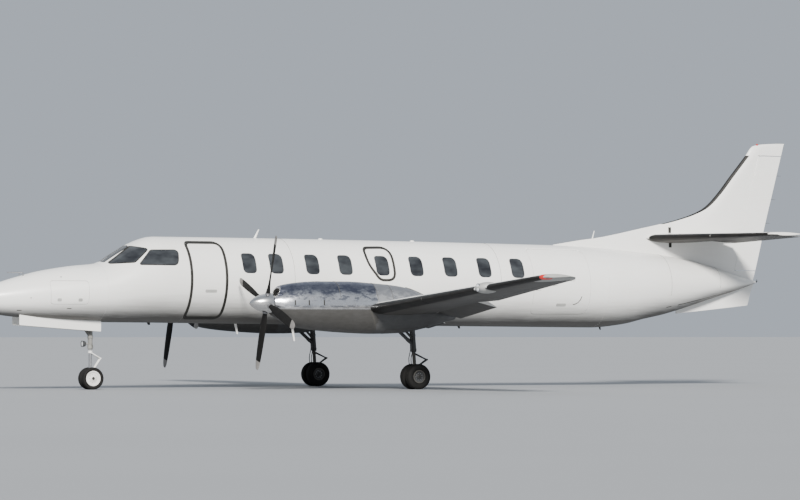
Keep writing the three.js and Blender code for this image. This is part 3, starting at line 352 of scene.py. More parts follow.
def cowling_metal():
    finish = Finish("cowling_metal")
    place = finish.position()
    x, y, z = finish.axes(place)
    cloud = finish.noise(place, 3.4, 5.0, 0.62)
    rub = finish.noise(finish.stretched(place, (0.8, 6.0, 6.0)), 6.0, 6.0, 0.65)
    scratch = finish.noise(finish.stretched(place, (1.0, 22.0, 22.0)), 14.0, 4.0, 0.6)
    dull = (cloud * 0.7 + rub * 0.5).ramp(0.48, 0.82)
    metal = finish.blend(dull * 0.8, COWL_BRIGHT, COWL_DULL)
    # Painted reflection: patches of the upper half turn dark blue as sky, except in a band just above the seam that is
    # kept bright as a painted highlight.
    patch_of = finish.noise(finish.stretched(place, (1.0, 1.5, 2.2)), 7.0, 4.0, 0.7)
    streak = z.near(1.66 + (rub - 0.5) * 0.1, 0.02, 0.05)
    upper = z.ramp(COWL_SPLIT - 0.03, COWL_SPLIT, 0.3, 1.0)
    metal = finish.blend(patch_of.ramp(0.47, 0.56, 0.0, 0.62) * (1 - streak) * upper, metal, COWL_SKY_REFLECTION)
    # Painted reflection: the top of the cowling turns dark blue as sky.
    top_sky_reflection = (z + (cloud - 0.5) * 0.3 + (patch_of - 0.5) * 0.2).ramp(1.77, 1.92, 0.0, 0.84)
    metal = finish.blend(top_sky_reflection, metal, COWL_SKY_REFLECTION)
    # Painted reflection: below the seam the metal is painted nearly black and made less metallic, as the ground
    # mirrored in it, with some soot.
    soot_and_reflection = (z + (rub - 0.5) * 0.02).ramp(COWL_SPLIT - 0.05, COWL_SPLIT, 0.93, 0.12)
    metal = finish.blend(soot_and_reflection, metal, COWL_SOOT_AND_REFLECTION)
    over_pipe = abs(abs(y) - NACELLE_SPAN).ramp(0.07, 0.12, 1.0, 0.0)
    burnt = over_pipe * x.ramp(NOSE_X - 8.2, NOSE_X - 7.95, 0.95, 0.0) * z.ramp(1.7, 1.76)
    ragged = x + (patch_of - 0.5) * 0.16
    painted = ragged.ramp(COWL_PAINT_START - 0.012, COWL_PAINT_START + 0.012, 0.85, 0.0)
    coat = finish.blend(painted * (1 - soot_and_reflection * 0.6), metal, COWL_PAINT)
    finish.set("Base Color", finish.blend(burnt, coat, COWL_SOOT_AND_REFLECTION))
    finish.set("Metallic", 1 - (painted.most(soot_and_reflection * 0.75)) * 0.85)
    finish.set("Roughness", 0.12 + dull * 0.14 + soot_and_reflection * 0.3 + painted * 0.2)
    finish.raise_by(scratch * 0.2 + cloud * 1.0, 0.13, 0.004)
    return finish.material


def bright_metal(name, bright, dull, roughness):
    finish = Finish(name)
    place = finish.position()
    rub = finish.noise(finish.stretched(place, (3.0, 18.0, 18.0)), 5.0, 5.0)
    finish.set("Base Color", finish.blend(rub.ramp(0.35, 0.75), bright, dull))
    finish.set("Metallic", 1.0)
    finish.set("Roughness", roughness + rub * 0.14)
    finish.raise_by(rub, 0.1, 0.001)
    return finish.material


COWLING = cowling_metal()
SPINNER_METAL = bright_metal("spinner_metal", colour(0.72, 0.71, 0.70), colour(0.46, 0.45, 0.44), 0.16)
STEEL = bright_metal("gear_steel", colour(0.55, 0.55, 0.56), colour(0.30, 0.30, 0.31), 0.25)
EXHAUST_METAL = bright_metal("exhaust_metal", colour(0.20, 0.17, 0.15), colour(0.06, 0.05, 0.045), 0.45)
ENGINE_STEEL = bright_metal("engine_steel", colour(0.34, 0.34, 0.35), colour(0.18, 0.18, 0.19), 0.4)
print("metals made:", COWLING.name, SPINNER_METAL.name, STEEL.name)

# %% [markdown]
# Rubber shows up three times: smooth shiny boots on the leading edges, which swell to break ice, dull tyres with
# dust in them, and seals. The tyres are painted darker than real rubber, as shade. Glass over a dark cabin is drawn
# as an opaque, very smooth surface whose dark colour is painted shade of the cabin behind it, with faint cloudy
# tones, and it is lighter where the sky mirrors in it, so it needs no see-through shader.

# %% Rubber, glass and dark paints
# Tyre dust, drawn nearly black: mostly painted shade.
TYRE_DUST_AND_SHADE = colour(0.012, 0.011, 0.010)


def rubber(name, dark, dust_and_shade_tone, roughness, grain):
    finish = Finish(name)
    place = finish.position()
    cloud = finish.noise(place, 4.0, 5.0)
    fine = finish.noise(place, grain, 3.0)
    finish.set("Base Color", finish.blend((cloud * 0.8 + fine * 0.4).ramp(0.45, 0.85), dark, dust_and_shade_tone))
    finish.set("Roughness", roughness + fine * 0.12)
    finish.set("Specular IOR Level", 0.25)
    finish.raise_by(fine + cloud * 0.5, 0.15, 0.0008)
    return finish.material


def dark_glass():
    finish = Finish("dark_glass")
    place = finish.position()
    depth = finish.noise(finish.stretched(place, (2.0, 2.0, 4.0)), 1.6, 2.0)
    # The pane is opaque: its dark colour is painted shade of the dark inside behind it.
    low = colour(0.045, 0.05, 0.055)
    high = colour(0.012, 0.013, 0.016)
    finish.set("Base Color", finish.blend(depth.ramp(0.3, 0.7), low, high))
    finish.set("Roughness", 0.05 + finish.noise(place, 8.0, 3.0) * 0.05)
    finish.set("Specular IOR Level", 0.3)
    finish.set("Coat Weight", 0.15)
    finish.set("Coat Roughness", 0.03)
    return finish.material


def lamp_glass(name, tint, glow):
    finish = Finish(name)
    place = finish.position()
    ribs = finish.noise(place, 120.0, 1.0)
    finish.set("Base Color", finish.blend(ribs, tint, colour(*(0.6 * part for part in tint[:3]))))
    finish.set("Roughness", 0.08 + ribs * 0.06)
    finish.set("Emission Color", tint)
    finish.set("Emission Strength", glow)
    finish.set("Coat Weight", 0.6)
    return finish.material


BOOT_RUBBER = rubber("boot_rubber", colour(0.006, 0.006, 0.006), colour(0.020, 0.018, 0.016), 0.5, 180.0)
# Tyre rubber is drawn darker than real rubber, as painted shade.
TYRE_RUBBER_AND_SHADE = rubber("tyre_rubber", colour(0.005, 0.005, 0.005), TYRE_DUST_AND_SHADE, 0.72, 260.0)
# The blades are drawn darker than their black paint, as painted shade.
BLADE_BLACK_AND_SHADE = rubber("blade_black", colour(0.003, 0.003, 0.003), colour(0.006, 0.0055, 0.005), 0.7, 40.0)
GEAR_DARK = grey_paint("gear_dark", colour(0.06, 0.062, 0.065), colour(0.025, 0.025, 0.025), 0.45)
GEAR_LIGHT = grey_paint("gear_light", colour(0.30, 0.30, 0.285), colour(0.09, 0.085, 0.075), 0.4)
HUB_WHITE = grey_paint("hub_white", colour(0.80, 0.80, 0.78), colour(0.62, 0.61, 0.58), 0.35)
# The tips' light paint is drawn mid grey, as painted shade.
TIP_LIGHT_AND_SHADE = grey_paint("blade_tip_light", colour(0.27, 0.255, 0.24), colour(0.18, 0.17, 0.16), 0.5)
GLASS = dark_glass()
LAMP_CLEAR = lamp_glass("lamp_clear", colour(0.80, 0.82, 0.83), 0.3)
LAMP_RED = lamp_glass("lamp_red", colour(0.55, 0.02, 0.015), 0.12)
LAMP_GREEN = lamp_glass("lamp_green", colour(0.01, 0.35, 0.12), 0.12)
print("rubbers, glass and lamps made")


# %% Floor finish and cabin floor covering
def floor_finish():
    finish = Finish("studio_floor")
    place = finish.position()
    tone = finish.noise(place, 0.15, 3.0)
    finish.set("Base Color", finish.blend(tone, colour(0.31, 0.32, 0.335), colour(0.285, 0.295, 0.31)))
    finish.set("Roughness", 0.75)
    return finish.material


def carpet():
    finish = Finish("cabin_carpet")
    place = finish.position()
    tuft = finish.noise(place, 300.0, 2.0)
    worn = finish.noise(place, 2.0, 4.0)
    finish.set("Base Color", finish.blend(tuft, colour(0.10, 0.11, 0.13), colour(0.17, 0.17, 0.18)))
    finish.set("Roughness", 0.85 + worn * 0.1)
    finish.raise_by(tuft, 0.6, 0.004)
    return finish.material


floor.data.materials.append(floor_finish())
CARPET = carpet()
sky = bpy.data.worlds.new("pale_sky")
sky.use_nodes = True
sky.node_tree.nodes["Background"].inputs["Color"].default_value = colour(0.78, 0.86, 0.97)
sky.node_tree.nodes["Background"].inputs["Strength"].default_value = 0.58
bpy.context.scene.world = sky
print("floor, carpet and sky made")

# %% [markdown]
# Most of an aircraft is a skin over a row of cross-sections. A Shape collects closed solids as points and faces,
# so one piece can hold a tube, a ring and a plate, and is made a mesh once, with its doubles merged and its
# faces turned outwards.


# %% Closed shapes
SIDES = ((1, "left"), (-1, "right"))
FORE, AFT = (1, 0, 0), (-1, 0, 0)
PORT, UP = (0, 1, 0), (0, 0, 1)


def full_turn(count):
    """The angles of a full circle, cut in count steps."""
    return [2 * math.pi * step / count for step in range(count)]


def spot(station, span, height):
    return Vector((NOSE_X - station, span, height))


class Shape:
    """Closed solids that together make one piece."""

    def __init__(self):
        self.points = []
        self.faces = []

    def loft(self, loops, caps=True, ring=False):
        """A skin over loops of points. ring also joins the last loop to the first."""
        first, sides, count = len(self.points), len(loops[0]), len(loops)
        for loop in loops:
            self.points.extend(Vector(place) for place in loop)
        for row in range(count if ring else count - 1):
            here, there = first + row * sides, first + ((row + 1) % count) * sides
            for side in range(sides):
                after = (side + 1) % sides
                self.faces.append((here + side, here + after, there + after, there + side))
        if caps and not ring:
            for start in (first, first + (count - 1) * sides):
                middle = sum(self.points[start:start + sides], Vector()) / sides
                self.points.append(middle)
                centre = len(self.points) - 1
                for side in range(sides):
                    self.faces.append((centre, start + side, start + (side + 1) % sides))
        return self

    def lathe(self, profile, centre, axis, sides=48, closed=False):
        """profile turned about an axis: pairs of radius and distance along it."""
        turn = Vector(axis).to_track_quat("Z", "X").to_matrix()
        loops = []
        for angle in full_turn(sides):
            arm = Vector((math.cos(angle), math.sin(angle), 0))
            loops.append(
                [Vector(centre) + turn @ (arm * radius + Vector((0, 0, along))) for radius, along in profile]
            )
        if closed:
            return self.loft(loops, ring=True)
        first, length = len(self.points), len(profile)
        for loop in loops:
            self.points.extend(loop)
        for side in range(sides):
            here, there = first + side * length, first + ((side + 1) % sides) * length
            for step in range(length - 1):
                self.faces.append((here + step, here + step + 1, there + step + 1, there + step))
        return self

    def rod(self, start, end, radius, end_radius=None, sides=24):
        start, end = Vector(start), Vector(end)
        last = radius if end_radius is None else end_radius
        profile = [(0, 0), (radius, 0), (last, (end - start).length), (0, (end - start).length)]
        return self.lathe(profile, start, end - start, sides)

    def tube(self, path, radius, sides=10):
        """A round tube along a path of points."""
        path = [Vector(place) for place in path]
        loops = []
        normal = None
        for index, place in enumerate(path):
            ahead = path[min(index + 1, len(path) - 1)] - path[max(index - 1, 0)]
            ahead.normalize()
            if normal is None:
                normal = ahead.orthogonal().normalized()
            normal = (normal - ahead * normal.dot(ahead)).normalized()
            across = ahead.cross(normal)
            loops.append([
                place + radius * (math.cos(turn) * normal + math.sin(turn) * across)
                for turn in full_turn(sides)
            ])
        return self.loft(loops)

    def plate(self, outline, lift):
        """A flat outline of points pushed by a vector."""
        return self.loft([outline, [place + lift for place in outline]])

    def box(self, low, high):
        corners = [(low[0], low[1]), (high[0], low[1]), (high[0], high[1]), (low[0], high[1])]
        loops = [[Vector((x, y, height)) for x, y in corners] for height in (low[2], high[2])]
        return self.loft(loops)


def mesh_from(name, shape):
    mesh = bpy.data.meshes.new(name)
    mesh.from_pydata([tuple(place) for place in shape.points], [], shape.faces)
    edit = bmesh.new()
    edit.from_mesh(mesh)
    bmesh.ops.remove_doubles(edit, verts=edit.verts, dist=2e-5)
    bmesh.ops.dissolve_degenerate(edit, edges=edit.edges, dist=1e-6)
    bmesh.ops.recalc_face_normals(edit, faces=edit.faces)
    edit.to_mesh(mesh)
    edit.free()
    return mesh


def loose(name, shape):
    """A shape as an object that no body carries yet."""
    thing = bpy.data.objects.new(name, mesh_from(name, shape))
    bpy.context.scene.collection.objects.link(thing)
    return thing


def mark_underside(mesh):
    """Keeps how far each corner of a skin faces down, for the white paints that paint shade underneath."""
    down = [max(0.0, -corner.vector.z) for corner in mesh.corner_normals]
    mesh.attributes.new("underside", "FLOAT", "CORNER").data.foreach_set("value", down)


def settle(thing, finish, body, replaces=(), crease=32):
    """Gives a finished piece its finish, its body and the nodes that it stands for."""
    thing.data.materials.clear()
    thing.data.materials.append(finish)
    thing.data.shade_smooth()
    thing.data.set_sharp_from_angle(angle=math.radians(crease))
    if finish in (BODY_WHITE, SURFACE_WHITE):
        mark_underside(thing.data)
    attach(thing, body)
    if replaces:
        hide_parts(*replaces)
    return thing


def make(name, shape, finish, body, replaces=(), crease=32):
    return settle(loose(name, shape), finish, body, replaces, crease)


def cut(thing, tool_shape, operation="DIFFERENCE"):
    """Cuts a loose object by a shape, or keeps only what lies in it."""
    tool = loose("tool", tool_shape)
    modifier = thing.modifiers.new("cut", "BOOLEAN")
    modifier.operation = operation
    modifier.solver = "EXACT"
    modifier.object = tool
    bpy.context.view_layer.update()
    solid = thing.evaluated_get(bpy.context.evaluated_depsgraph_get())
    mesh = bpy.data.meshes.new_from_object(solid)
    thing.modifiers.remove(modifier)
    thing.data = mesh
    bpy.data.objects.remove(tool)
    return thing


print("shape tools ready")

# %% [markdown]
# A fuselage frame is half an ellipse over its widest height and half another one under it. Four curves, the top,
# the bottom, the half width and the widest height, give every frame. They run smoothly through measured
# stations and never overshoot them, so the cabin stays straight where it is straight.


# %% Smooth hulls
class Line:
    """A smooth line through points that never overshoots them."""

    def __init__(self, xs, ys):
        self.xs, self.ys = xs, ys
        steps = [(ys[i + 1] - ys[i]) / (xs[i + 1] - xs[i]) for i in range(len(xs) - 1)]
        self.slopes = [steps[0]]
        for before, after in zip(steps, steps[1:]):
            self.slopes.append(0.0 if before * after <= 0 else 2 * before * after / (before + after))
        self.slopes.append(steps[-1])

    def __call__(self, x):
        xs, ys, slopes = self.xs, self.ys, self.slopes
        i = 0
        while i < len(xs) - 2 and x > xs[i + 1]:
            i += 1
        width = xs[i + 1] - xs[i]
        t = (x - xs[i]) / width
        return (
            ys[i] * (1 + 2 * t) * (1 - t) ** 2 + slopes[i] * width * t * (1 - t) ** 2
            + ys[i + 1] * t * t * (3 - 2 * t) + slopes[i + 1] * width * t * t * (t - 1)
        )


class Hull:
    """A skin over frames. Each row is a station, its top, bottom, half width and widest height."""

    def __init__(self, rows, span=0.0):
        stations = [row[0] for row in rows]
        self.top, self.bottom, self.half, self.widest = (
            Line(stations, [row[column] for row in rows]) for column in (1, 2, 3, 4)
        )
        self.span = span
        self.last = stations[-1]

    def raw(self, station, angle, grow=0.0):
        level = self.widest(station)
        rise = self.top(station) - level if math.sin(angle) >= 0 else level - self.bottom(station)
        across = (self.half(station) + grow) * math.cos(angle)
        return spot(station, self.span + across, level + (rise + grow) * math.sin(angle))

    def at(self, station, angle, proud=0.0):
        """A point of the skin, or one that stands proud of it along its normal."""
        place = self.raw(station, angle)
        if not proud:
            return place
        step = 0.004
        along = self.raw(min(station + step, self.last), angle) - self.raw(max(station - step, 0.001), angle)
        round_it = self.raw(station, angle + step) - self.raw(station, angle - step)
        return place + along.cross(round_it).normalized() * -proud

    def angle_at(self, station, height, side):
        level = self.widest(station)
        rise = self.top(station) - level if height >= level else level - self.bottom(station)
        angle = math.asin(max(-1.0, min(1.0, (height - level) / rise)))
        return angle if side > 0 else math.pi - angle

    def angle_over(self, station, span):
        return math.acos(max(-1.0, min(1.0, (span - self.span) / self.half(station))))

    def loop(self, station, sides, grow=0.0):
        return [self.raw(station, angle, grow) for angle in full_turn(sides)]


FUSELAGE = Hull([
    (0, 1.738, 1.704, 0.017, 1.721),
    (0.035, 1.8, 1.64, 0.082, 1.721),
    (0.11, 1.865, 1.575, 0.148, 1.723),
    (0.26, 1.95, 1.5, 0.222, 1.728),
    (0.557, 2.059, 1.428, 0.32, 1.742),
    (0.961, 2.178, 1.382, 0.425, 1.77),
    (1.366, 2.277, 1.345, 0.515, 1.8),
    (1.979, 2.373, 1.313, 0.632, 1.85),
    (2.5, 2.428, 1.298, 0.714, 1.9),
    (2.83, 2.612, 1.293, 0.757, 1.965),
    (3.135, 2.79, 1.291, 0.793, 2.035),
    (3.427, 2.91, 1.289, 0.822, 2.09),
    (3.65, 2.957, 1.287, 0.838, 2.122),
    (12.46, 2.884, 1.208, 0.838, 2.046),
    (13.4, 2.852, 1.202, 0.832, 2.036),
    (14.11, 2.797, 1.267, 0.775, 2.042),
    (14.58, 2.757, 1.369, 0.712, 2.062),
    (15.08, 2.706, 1.469, 0.63, 2.085),
    (15.57, 2.628, 1.6, 0.54, 2.105),
    (16.22, 2.495, 1.795, 0.402, 2.13),
    (16.88, 2.308, 1.981, 0.235, 2.145),
    (17.35, 2.186, 2.13, 0.042, 2.158),
])
HULL_SIDES = 96
RADOME_END = 0.45
FRONT_BULKHEAD = 2.5
COCKPIT_END = 4.144
CABIN_JOINT = 8.56
REAR_BULKHEAD = 13.4
TAIL_HOLLOW_END = 16.7
CABIN_WALL = 0.053
TAIL_WALL = 0.022
SEAM = 0.0015


def steps_between(start, end, longest):
    count = max(1, math.ceil((end - start) / longest))
    return [start + (end - start) * step / count for step in range(count + 1)]


def hull_part(start, end, longest, wall=None, wall_end=None):
    """A closed length of the fuselage. With a wall it is hollow right through, or as far as wall_end."""
    outer = [FUSELAGE.loop(station, HULL_SIDES) for station in steps_between(start, end, longest)]
    if wall is None:
        return Shape().loft(outer)
    inner_end = end if wall_end is None else wall_end
    inner = [
        FUSELAGE.loop(station, HULL_SIDES, -wall) for station in steps_between(start, inner_end, longest)
    ]
    if wall_end is None:
        return Shape().loft(outer + inner[::-1], ring=True)
    return Shape().loft(inner[::-1] + outer)


print("fuselage curves ready, widest", round(2 * FUSELAGE.half(8.0), 3), "m")

# %% [markdown]
# Doors, panes and painted outlines all follow the skin. Each starts as a flat outline of corners with radii, seen
# from the side or from above. It is then laid on the hull: a patch is a thin plate with the hull's own curve, and a
# band is a flat seal or seam that runs round the outline.


# %% Outlines on the skin
LAY_STEP = 0.045


def rounded(corners, arc_steps=8):
    """Corners of two coordinates and a radius as a closed outline, its straight sides cut in short steps."""
    path = []
    for index, (a, b, radius) in enumerate(corners):
        ends = []
        for other in (corners[index - 1], corners[(index + 1) % len(corners)]):
            distance = math.hypot(other[0] - a, other[1] - b)
            ends.append((a + (other[0] - a) * radius / distance, b + (other[1] - b) * radius / distance))
        if path:
            path.extend(straight(path[-1], ends[0]))
        for step in range(arc_steps + 1):
            t = step / arc_steps
            path.append(tuple(
                (1 - t) ** 2 * first + 2 * t * (1 - t) * middle + t * t * last
                for first, middle, last in zip(ends[0], (a, b), ends[1])
            ))
    path.extend(straight(path[-1], path[0]))
    return path


def straight(start, end):
    count = int(math.hypot(end[0] - start[0], end[1] - start[1]) / LAY_STEP)
    return [
        (
            start[0] + (end[0] - start[0]) * step / (count + 1),
            start[1] + (end[1] - start[1]) * step / (count + 1),
        )
        for step in range(1, count + 1)
    ]


def widened(outline, distance):
    """The outline moved outwards by a distance."""
    area = sum(
        a[0] * b[1] - b[0] * a[1] for a, b in zip(outline, outline[1:] + outline[:1])
    )
    turn = 1 if area > 0 else -1
    moved = []
    for index, (a, b) in enumerate(outline):
        before, after = outline[index - 1], outline[(index + 1) % len(outline)]
        along = (after[0] - before[0], after[1] - before[1])
        size = math.hypot(*along) or 1.0
        moved.append((a + turn * along[1] / size * distance, b - turn * along[0] / size * distance))
    return moved


def side_angle(side):
    return lambda station, height: FUSELAGE.angle_at(station, height, side)


def lay(hull, outline, to_angle, proud):
    return [hull.at(station, to_angle(station, other), proud) for station, other in outline]


def patch(shape, hull, outline, to_angle, proud, sunk=0.004, rings=6):
    """A thin plate that follows the hull inside an outline."""
    middle = [sum(values) / len(outline) for values in zip(*outline)]
    shares = [0.02] + [ring / rings for ring in range(1, rings + 1)]
    sized = [
        [(middle[0] + (a - middle[0]) * share, middle[1] + (b - middle[1]) * share) for a, b in outline]
        for share in shares
    ]
    under = [lay(hull, ring, to_angle, -sunk) for ring in sized]
    over = [lay(hull, ring, to_angle, proud) for ring in reversed(sized)]
    return shape.loft(under + over)


def band(shape, hull, outline, to_angle, inside, outside, proud, sunk=0.003):
    """A flat band round an outline, from inside it to outside it, both measured outwards."""
    inner, outer = widened(outline, inside), widened(outline, outside)
    edges = [(inner, -sunk), (inner, proud), (outer, proud), (outer, -sunk)]
    rings = [lay(hull, ring, to_angle, height) for ring, height in edges]
    return shape.loft([list(corners) for corners in zip(*rings)], ring=True)


def door_outline(door, radii):
    start, end, bottom, top, top_drop = door
    corners = [(start, bottom), (end, bottom), (end, top - top_drop), (start, top)]
    return rounded([(a, b, radius) for (a, b), radius in zip(corners, radii)])


def side_prism(outline, inner_span, side, widen=0.0):
    """The outline pushed out from inner_span to well outside the hull."""
    flat = [spot(station, side * inner_span, height) for station, height in widened(outline, widen)]
    return Shape().plate(flat, Vector((0, side * 1.0, 0)))


# %% [markdown]
# The fuselage is built in barrels, as the real one is, and each stands in for its own node, in its place. The doors
# are cut from the same wall that they close, so their skin carries on the curve of the cabin. The cargo door turns on
# a barrel at its upper edge, so a groove along it is cut from the wall and a smaller one from the door.

# %% Fuselage barrels and doors
PASSENGER_DOOR = (4.17, 4.9, 1.385, 2.84, 0.0)
CARGO_DOOR = (11.65, 12.95, 1.475, 2.79, 0.022)
BAGGAGE_DOOR = (1.4, 2.12, 1.64, 2.08, 0.0)
CARGO_HINGE = ((11.74, 2.798), (12.86, 2.776))
HINGE_BARREL = 0.013
HINGE_GROOVE = 0.023
HINGE_CLEAR = 0.016
HINGE_OUT = 0.009
GROOVE_SHARES = (-0.045, 1.045)
BAGGAGE_DEPTH = 0.028
BAGGAGE_BAY = 0.25
DOOR_GAP = 0.005
CUT_FROM = 0.06
PASSENGER_SILL = 0.332
FLOOR_UNDER = 1.46
NOSE_WELL = (0.93, 2.49, 0.165, 1.6)

passenger_outline = door_outline(PASSENGER_DOOR, (0.07, 0.11, 0.16, 0.09))
cargo_outline = door_outline(CARGO_DOOR, (0.12, 0.2, 0.12, 0.12))
baggage_outline = door_outline(BAGGAGE_DOOR, (0.06,) * 4)


def box_shape(start, end, low_span, high_span, low, high):
    return Shape().box((NOSE_X - end, low_span, low), (NOSE_X - start, high_span, high))


cargo_hinge = [
    FUSELAGE.at(station, FUSELAGE.angle_at(station, height, 1)) + Vector((0, HINGE_OUT, 0))
    for station, height in CARGO_HINGE
]
cargo_groove = [cargo_hinge[0].lerp(cargo_hinge[1], share) for share in GROOVE_SHARES]


make(
    "radome_skin", hull_part(0.0, RADOME_END - SEAM, 0.03), BODY_WHITE, "airframe",
    ["nose_radome"],
)
nose = loose("nose_skin", hull_part(RADOME_END, FRONT_BULKHEAD - SEAM, 0.08))
cut(nose, box_shape(NOSE_WELL[0], NOSE_WELL[1], -NOSE_WELL[2], NOSE_WELL[2], 1.0, NOSE_WELL[3]))
for side, word in SIDES:
    hatch = loose("hatch", hull_part(RADOME_END, FRONT_BULKHEAD, 0.08))
    hatch_core = [
        FUSELAGE.loop(station, HULL_SIDES, -BAGGAGE_DEPTH)
        for station in steps_between(RADOME_END - 0.01, FRONT_BULKHEAD + 0.01, 0.08)
    ]
    cut(hatch, Shape().loft(hatch_core))
    cut(hatch, side_prism(baggage_outline, CUT_FROM, side), "INTERSECT")
    hatch.name = f"baggage_door_skin_{word}"
    settle(hatch, BODY_WHITE, f"nose_hatch_{word}", [f"baggage_door_{word}"])
    cut(nose, side_prism(baggage_outline, BAGGAGE_BAY, side, DOOR_GAP))
settle(nose, BODY_WHITE, "airframe", ["nose_section"])

for name, node, start, end in (
    ("cockpit_skin", "cockpit_shell", FRONT_BULKHEAD, COCKPIT_END - SEAM),
    ("cabin_skin_forward", "cabin_shell_forward", COCKPIT_END, CABIN_JOINT - SEAM),
    ("cabin_skin_aft", "cabin_shell_aft", CABIN_JOINT, REAR_BULKHEAD - SEAM),
):
    barrel = loose(name, hull_part(start, end, 0.12, CABIN_WALL))
    if node == "cabin_shell_forward":
        cut(barrel, side_prism(passenger_outline, CUT_FROM, 1, DOOR_GAP))
    if node == "cabin_shell_aft":
        cut(barrel, side_prism(cargo_outline, CUT_FROM, 1, DOOR_GAP))
        cut(barrel, Shape().rod(*cargo_groove, HINGE_GROOVE, sides=24))
    settle(barrel, BODY_WHITE, "airframe", [node])

airstair = loose("airstair_skin", hull_part(COCKPIT_END - 0.02, 5.2, 0.06, CABIN_WALL))
cut(airstair, side_prism(passenger_outline, CUT_FROM, 1), "INTERSECT")
cut(airstair, box_shape(4.1, 5.0, 0.0, PASSENGER_SILL, 1.2, FLOOR_UNDER))
settle(airstair, BODY_WHITE, "airstair", ["passenger_door"])
cargo = loose("cargo_door_skin", hull_part(11.4, 13.1, 0.08, CABIN_WALL))
cut(cargo, side_prism(cargo_outline, CUT_FROM, 1), "INTERSECT")
cut(cargo, Shape().rod(*cargo_groove, HINGE_CLEAR, sides=24))
settle(cargo, BODY_WHITE, "cargo_hatch", ["cargo_door"])
barrel = Shape().rod(*cargo_hinge, HINGE_BARREL, sides=24)
make("cargo_hinge_barrel", barrel, BODY_WHITE, "cargo_hatch")
make(
    "tail_cone_skin", hull_part(REAR_BULKHEAD, 17.35, 0.1, TAIL_WALL, TAIL_HOLLOW_END), BODY_WHITE,
    "airframe", ["tail_cone"],
)
print("fuselage: radome, nose, three barrels, tail cone and four doors")

# %% [markdown]
# The cockpit has six panes in thick rubber seals. The cabin has rounded windows with narrow dark rims, and one of
# them sits in an emergency exit whose outline is painted as a heavy dark line.

# %% Panes, windows, seals and outlines
PANE_PROUD = 0.0015
SEAL_PROUD = 0.004
SIDE_PANES = {
    "front": ((2.639, 2.425, 0.03), (3.063, 2.449, 0.04), (3.368, 2.704, 0.04), (3.127, 2.755, 0.025)),
    "rear": ((3.143, 2.405, 0.035), (3.89, 2.4, 0.09), (3.955, 2.684, 0.09), (3.412, 2.678, 0.04)),
}
WINDSHIELD = ((2.535, 0.032, 0.025), (3.108, 0.032, 0.025), (3.085, 0.18, 0.03), (2.6, 0.18, 0.03))
WINDOW_STATIONS = (5.398, 5.973, 6.746, 7.462, 8.271, 9.022, 9.780, 10.545, 11.294)
WINDOW_WIDTH, WINDOW_TALL, WINDOW_RADIUS = 0.285, 0.385, 0.115
WINDOW_LEVEL_START, WINDOW_LEVEL_FALL = 2.443, 0.0088
EXIT_OUTLINE = (
    (7.96, 2.775, 0.11), (8.53, 2.785, 0.2), (8.525, 2.135, 0.15), (8.2, 2.13, 0.1), (7.96, 2.46, 0.16),
)


def window_outline(station):
    level = WINDOW_LEVEL_START - WINDOW_LEVEL_FALL * (station - WINDOW_STATIONS[0])
    half_wide, half_tall = WINDOW_WIDTH / 2, WINDOW_TALL / 2
    corners = [(-1, -1, 1.0), (1, -1, 0.75), (1, 1, 1.0), (-1, 1, 0.6)]
    return rounded(
        [(station + a * half_wide, level + b * half_tall, share * WINDOW_RADIUS) for a, b, share in corners]
    )


frames, seals, lines = Shape(), Shape(), Shape()
for side, word in SIDES:
    angle = side_angle(side)
    for pane, corners in SIDE_PANES.items():
        outline = rounded(corners)
        glass = patch(Shape(), FUSELAGE, outline, angle, PANE_PROUD)
        make(
            f"cockpit_pane_{pane}_{word}", glass, GLASS, "airframe",
            [f"side_window_{pane}_{word}"],
        )
        band(seals, FUSELAGE, outline, angle, -0.006, 0.016, SEAL_PROUD)
    screen = rounded([(station, side * span, radius) for station, span, radius in WINDSHIELD])
    over = FUSELAGE.angle_over
    glass = patch(Shape(), FUSELAGE, screen, over, PANE_PROUD, rings=9)
    make(f"windshield_pane_{word}", glass, GLASS, "airframe", [f"windshield_{word}"])
    band(seals, FUSELAGE, screen, over, -0.008, 0.018, SEAL_PROUD)
    windows = Shape()
    for station in WINDOW_STATIONS:
        outline = window_outline(station)
        patch(windows, FUSELAGE, outline, angle, PANE_PROUD)
        band(frames, FUSELAGE, outline, angle, -0.022, 0.003, 0.0035)
    make(f"cabin_windows_{word}", windows, GLASS, "airframe")
    band(lines, FUSELAGE, rounded(EXIT_OUTLINE), angle, -0.026, 0.026, 0.003)
band(lines, FUSELAGE, passenger_outline, side_angle(1), 0.0008, 0.031, 0.004)
make("window_frames", frames, TRIM_SEAL, "airframe")
make("cockpit_seals", seals, TRIM_SEAL, "airframe")
make("door_and_exit_lines", lines, TRIM_SEAL, "airframe")
door_line = band(Shape(), FUSELAGE, passenger_outline, side_angle(1), -0.026, -0.0005, 0.004)
make("airstair_seal", door_line, TRIM_SEAL, "airstair")
print("glass: 6 cockpit panes and", 2 * len(WINDOW_STATIONS), "cabin windows")

# %% [markdown]
# Wings and tail surfaces share one method. A section is two curves over the chord, an upper and a lower one, and
# functions of the span say where it stands and how deep it is. A control surface is the part of the same skin behind
# a hinge line, with a round nose that turns in a hollow of the fixed part, so nothing opens up when it moves.


# %% Aerofoil surfaces
SECTION_STEPS = 30
CUT_BACK, CUT_HALF = 1.4, 0.5


def half_depth(share):
    """Half the depth of the section at a share of its chord, for a section one unit deep."""
    nose = 0.2969 * math.sqrt(share) - 0.126 * share - 0.3516 * share ** 2
    return 5 * (nose + 0.2843 * share ** 3 - 0.1015 * share ** 4)


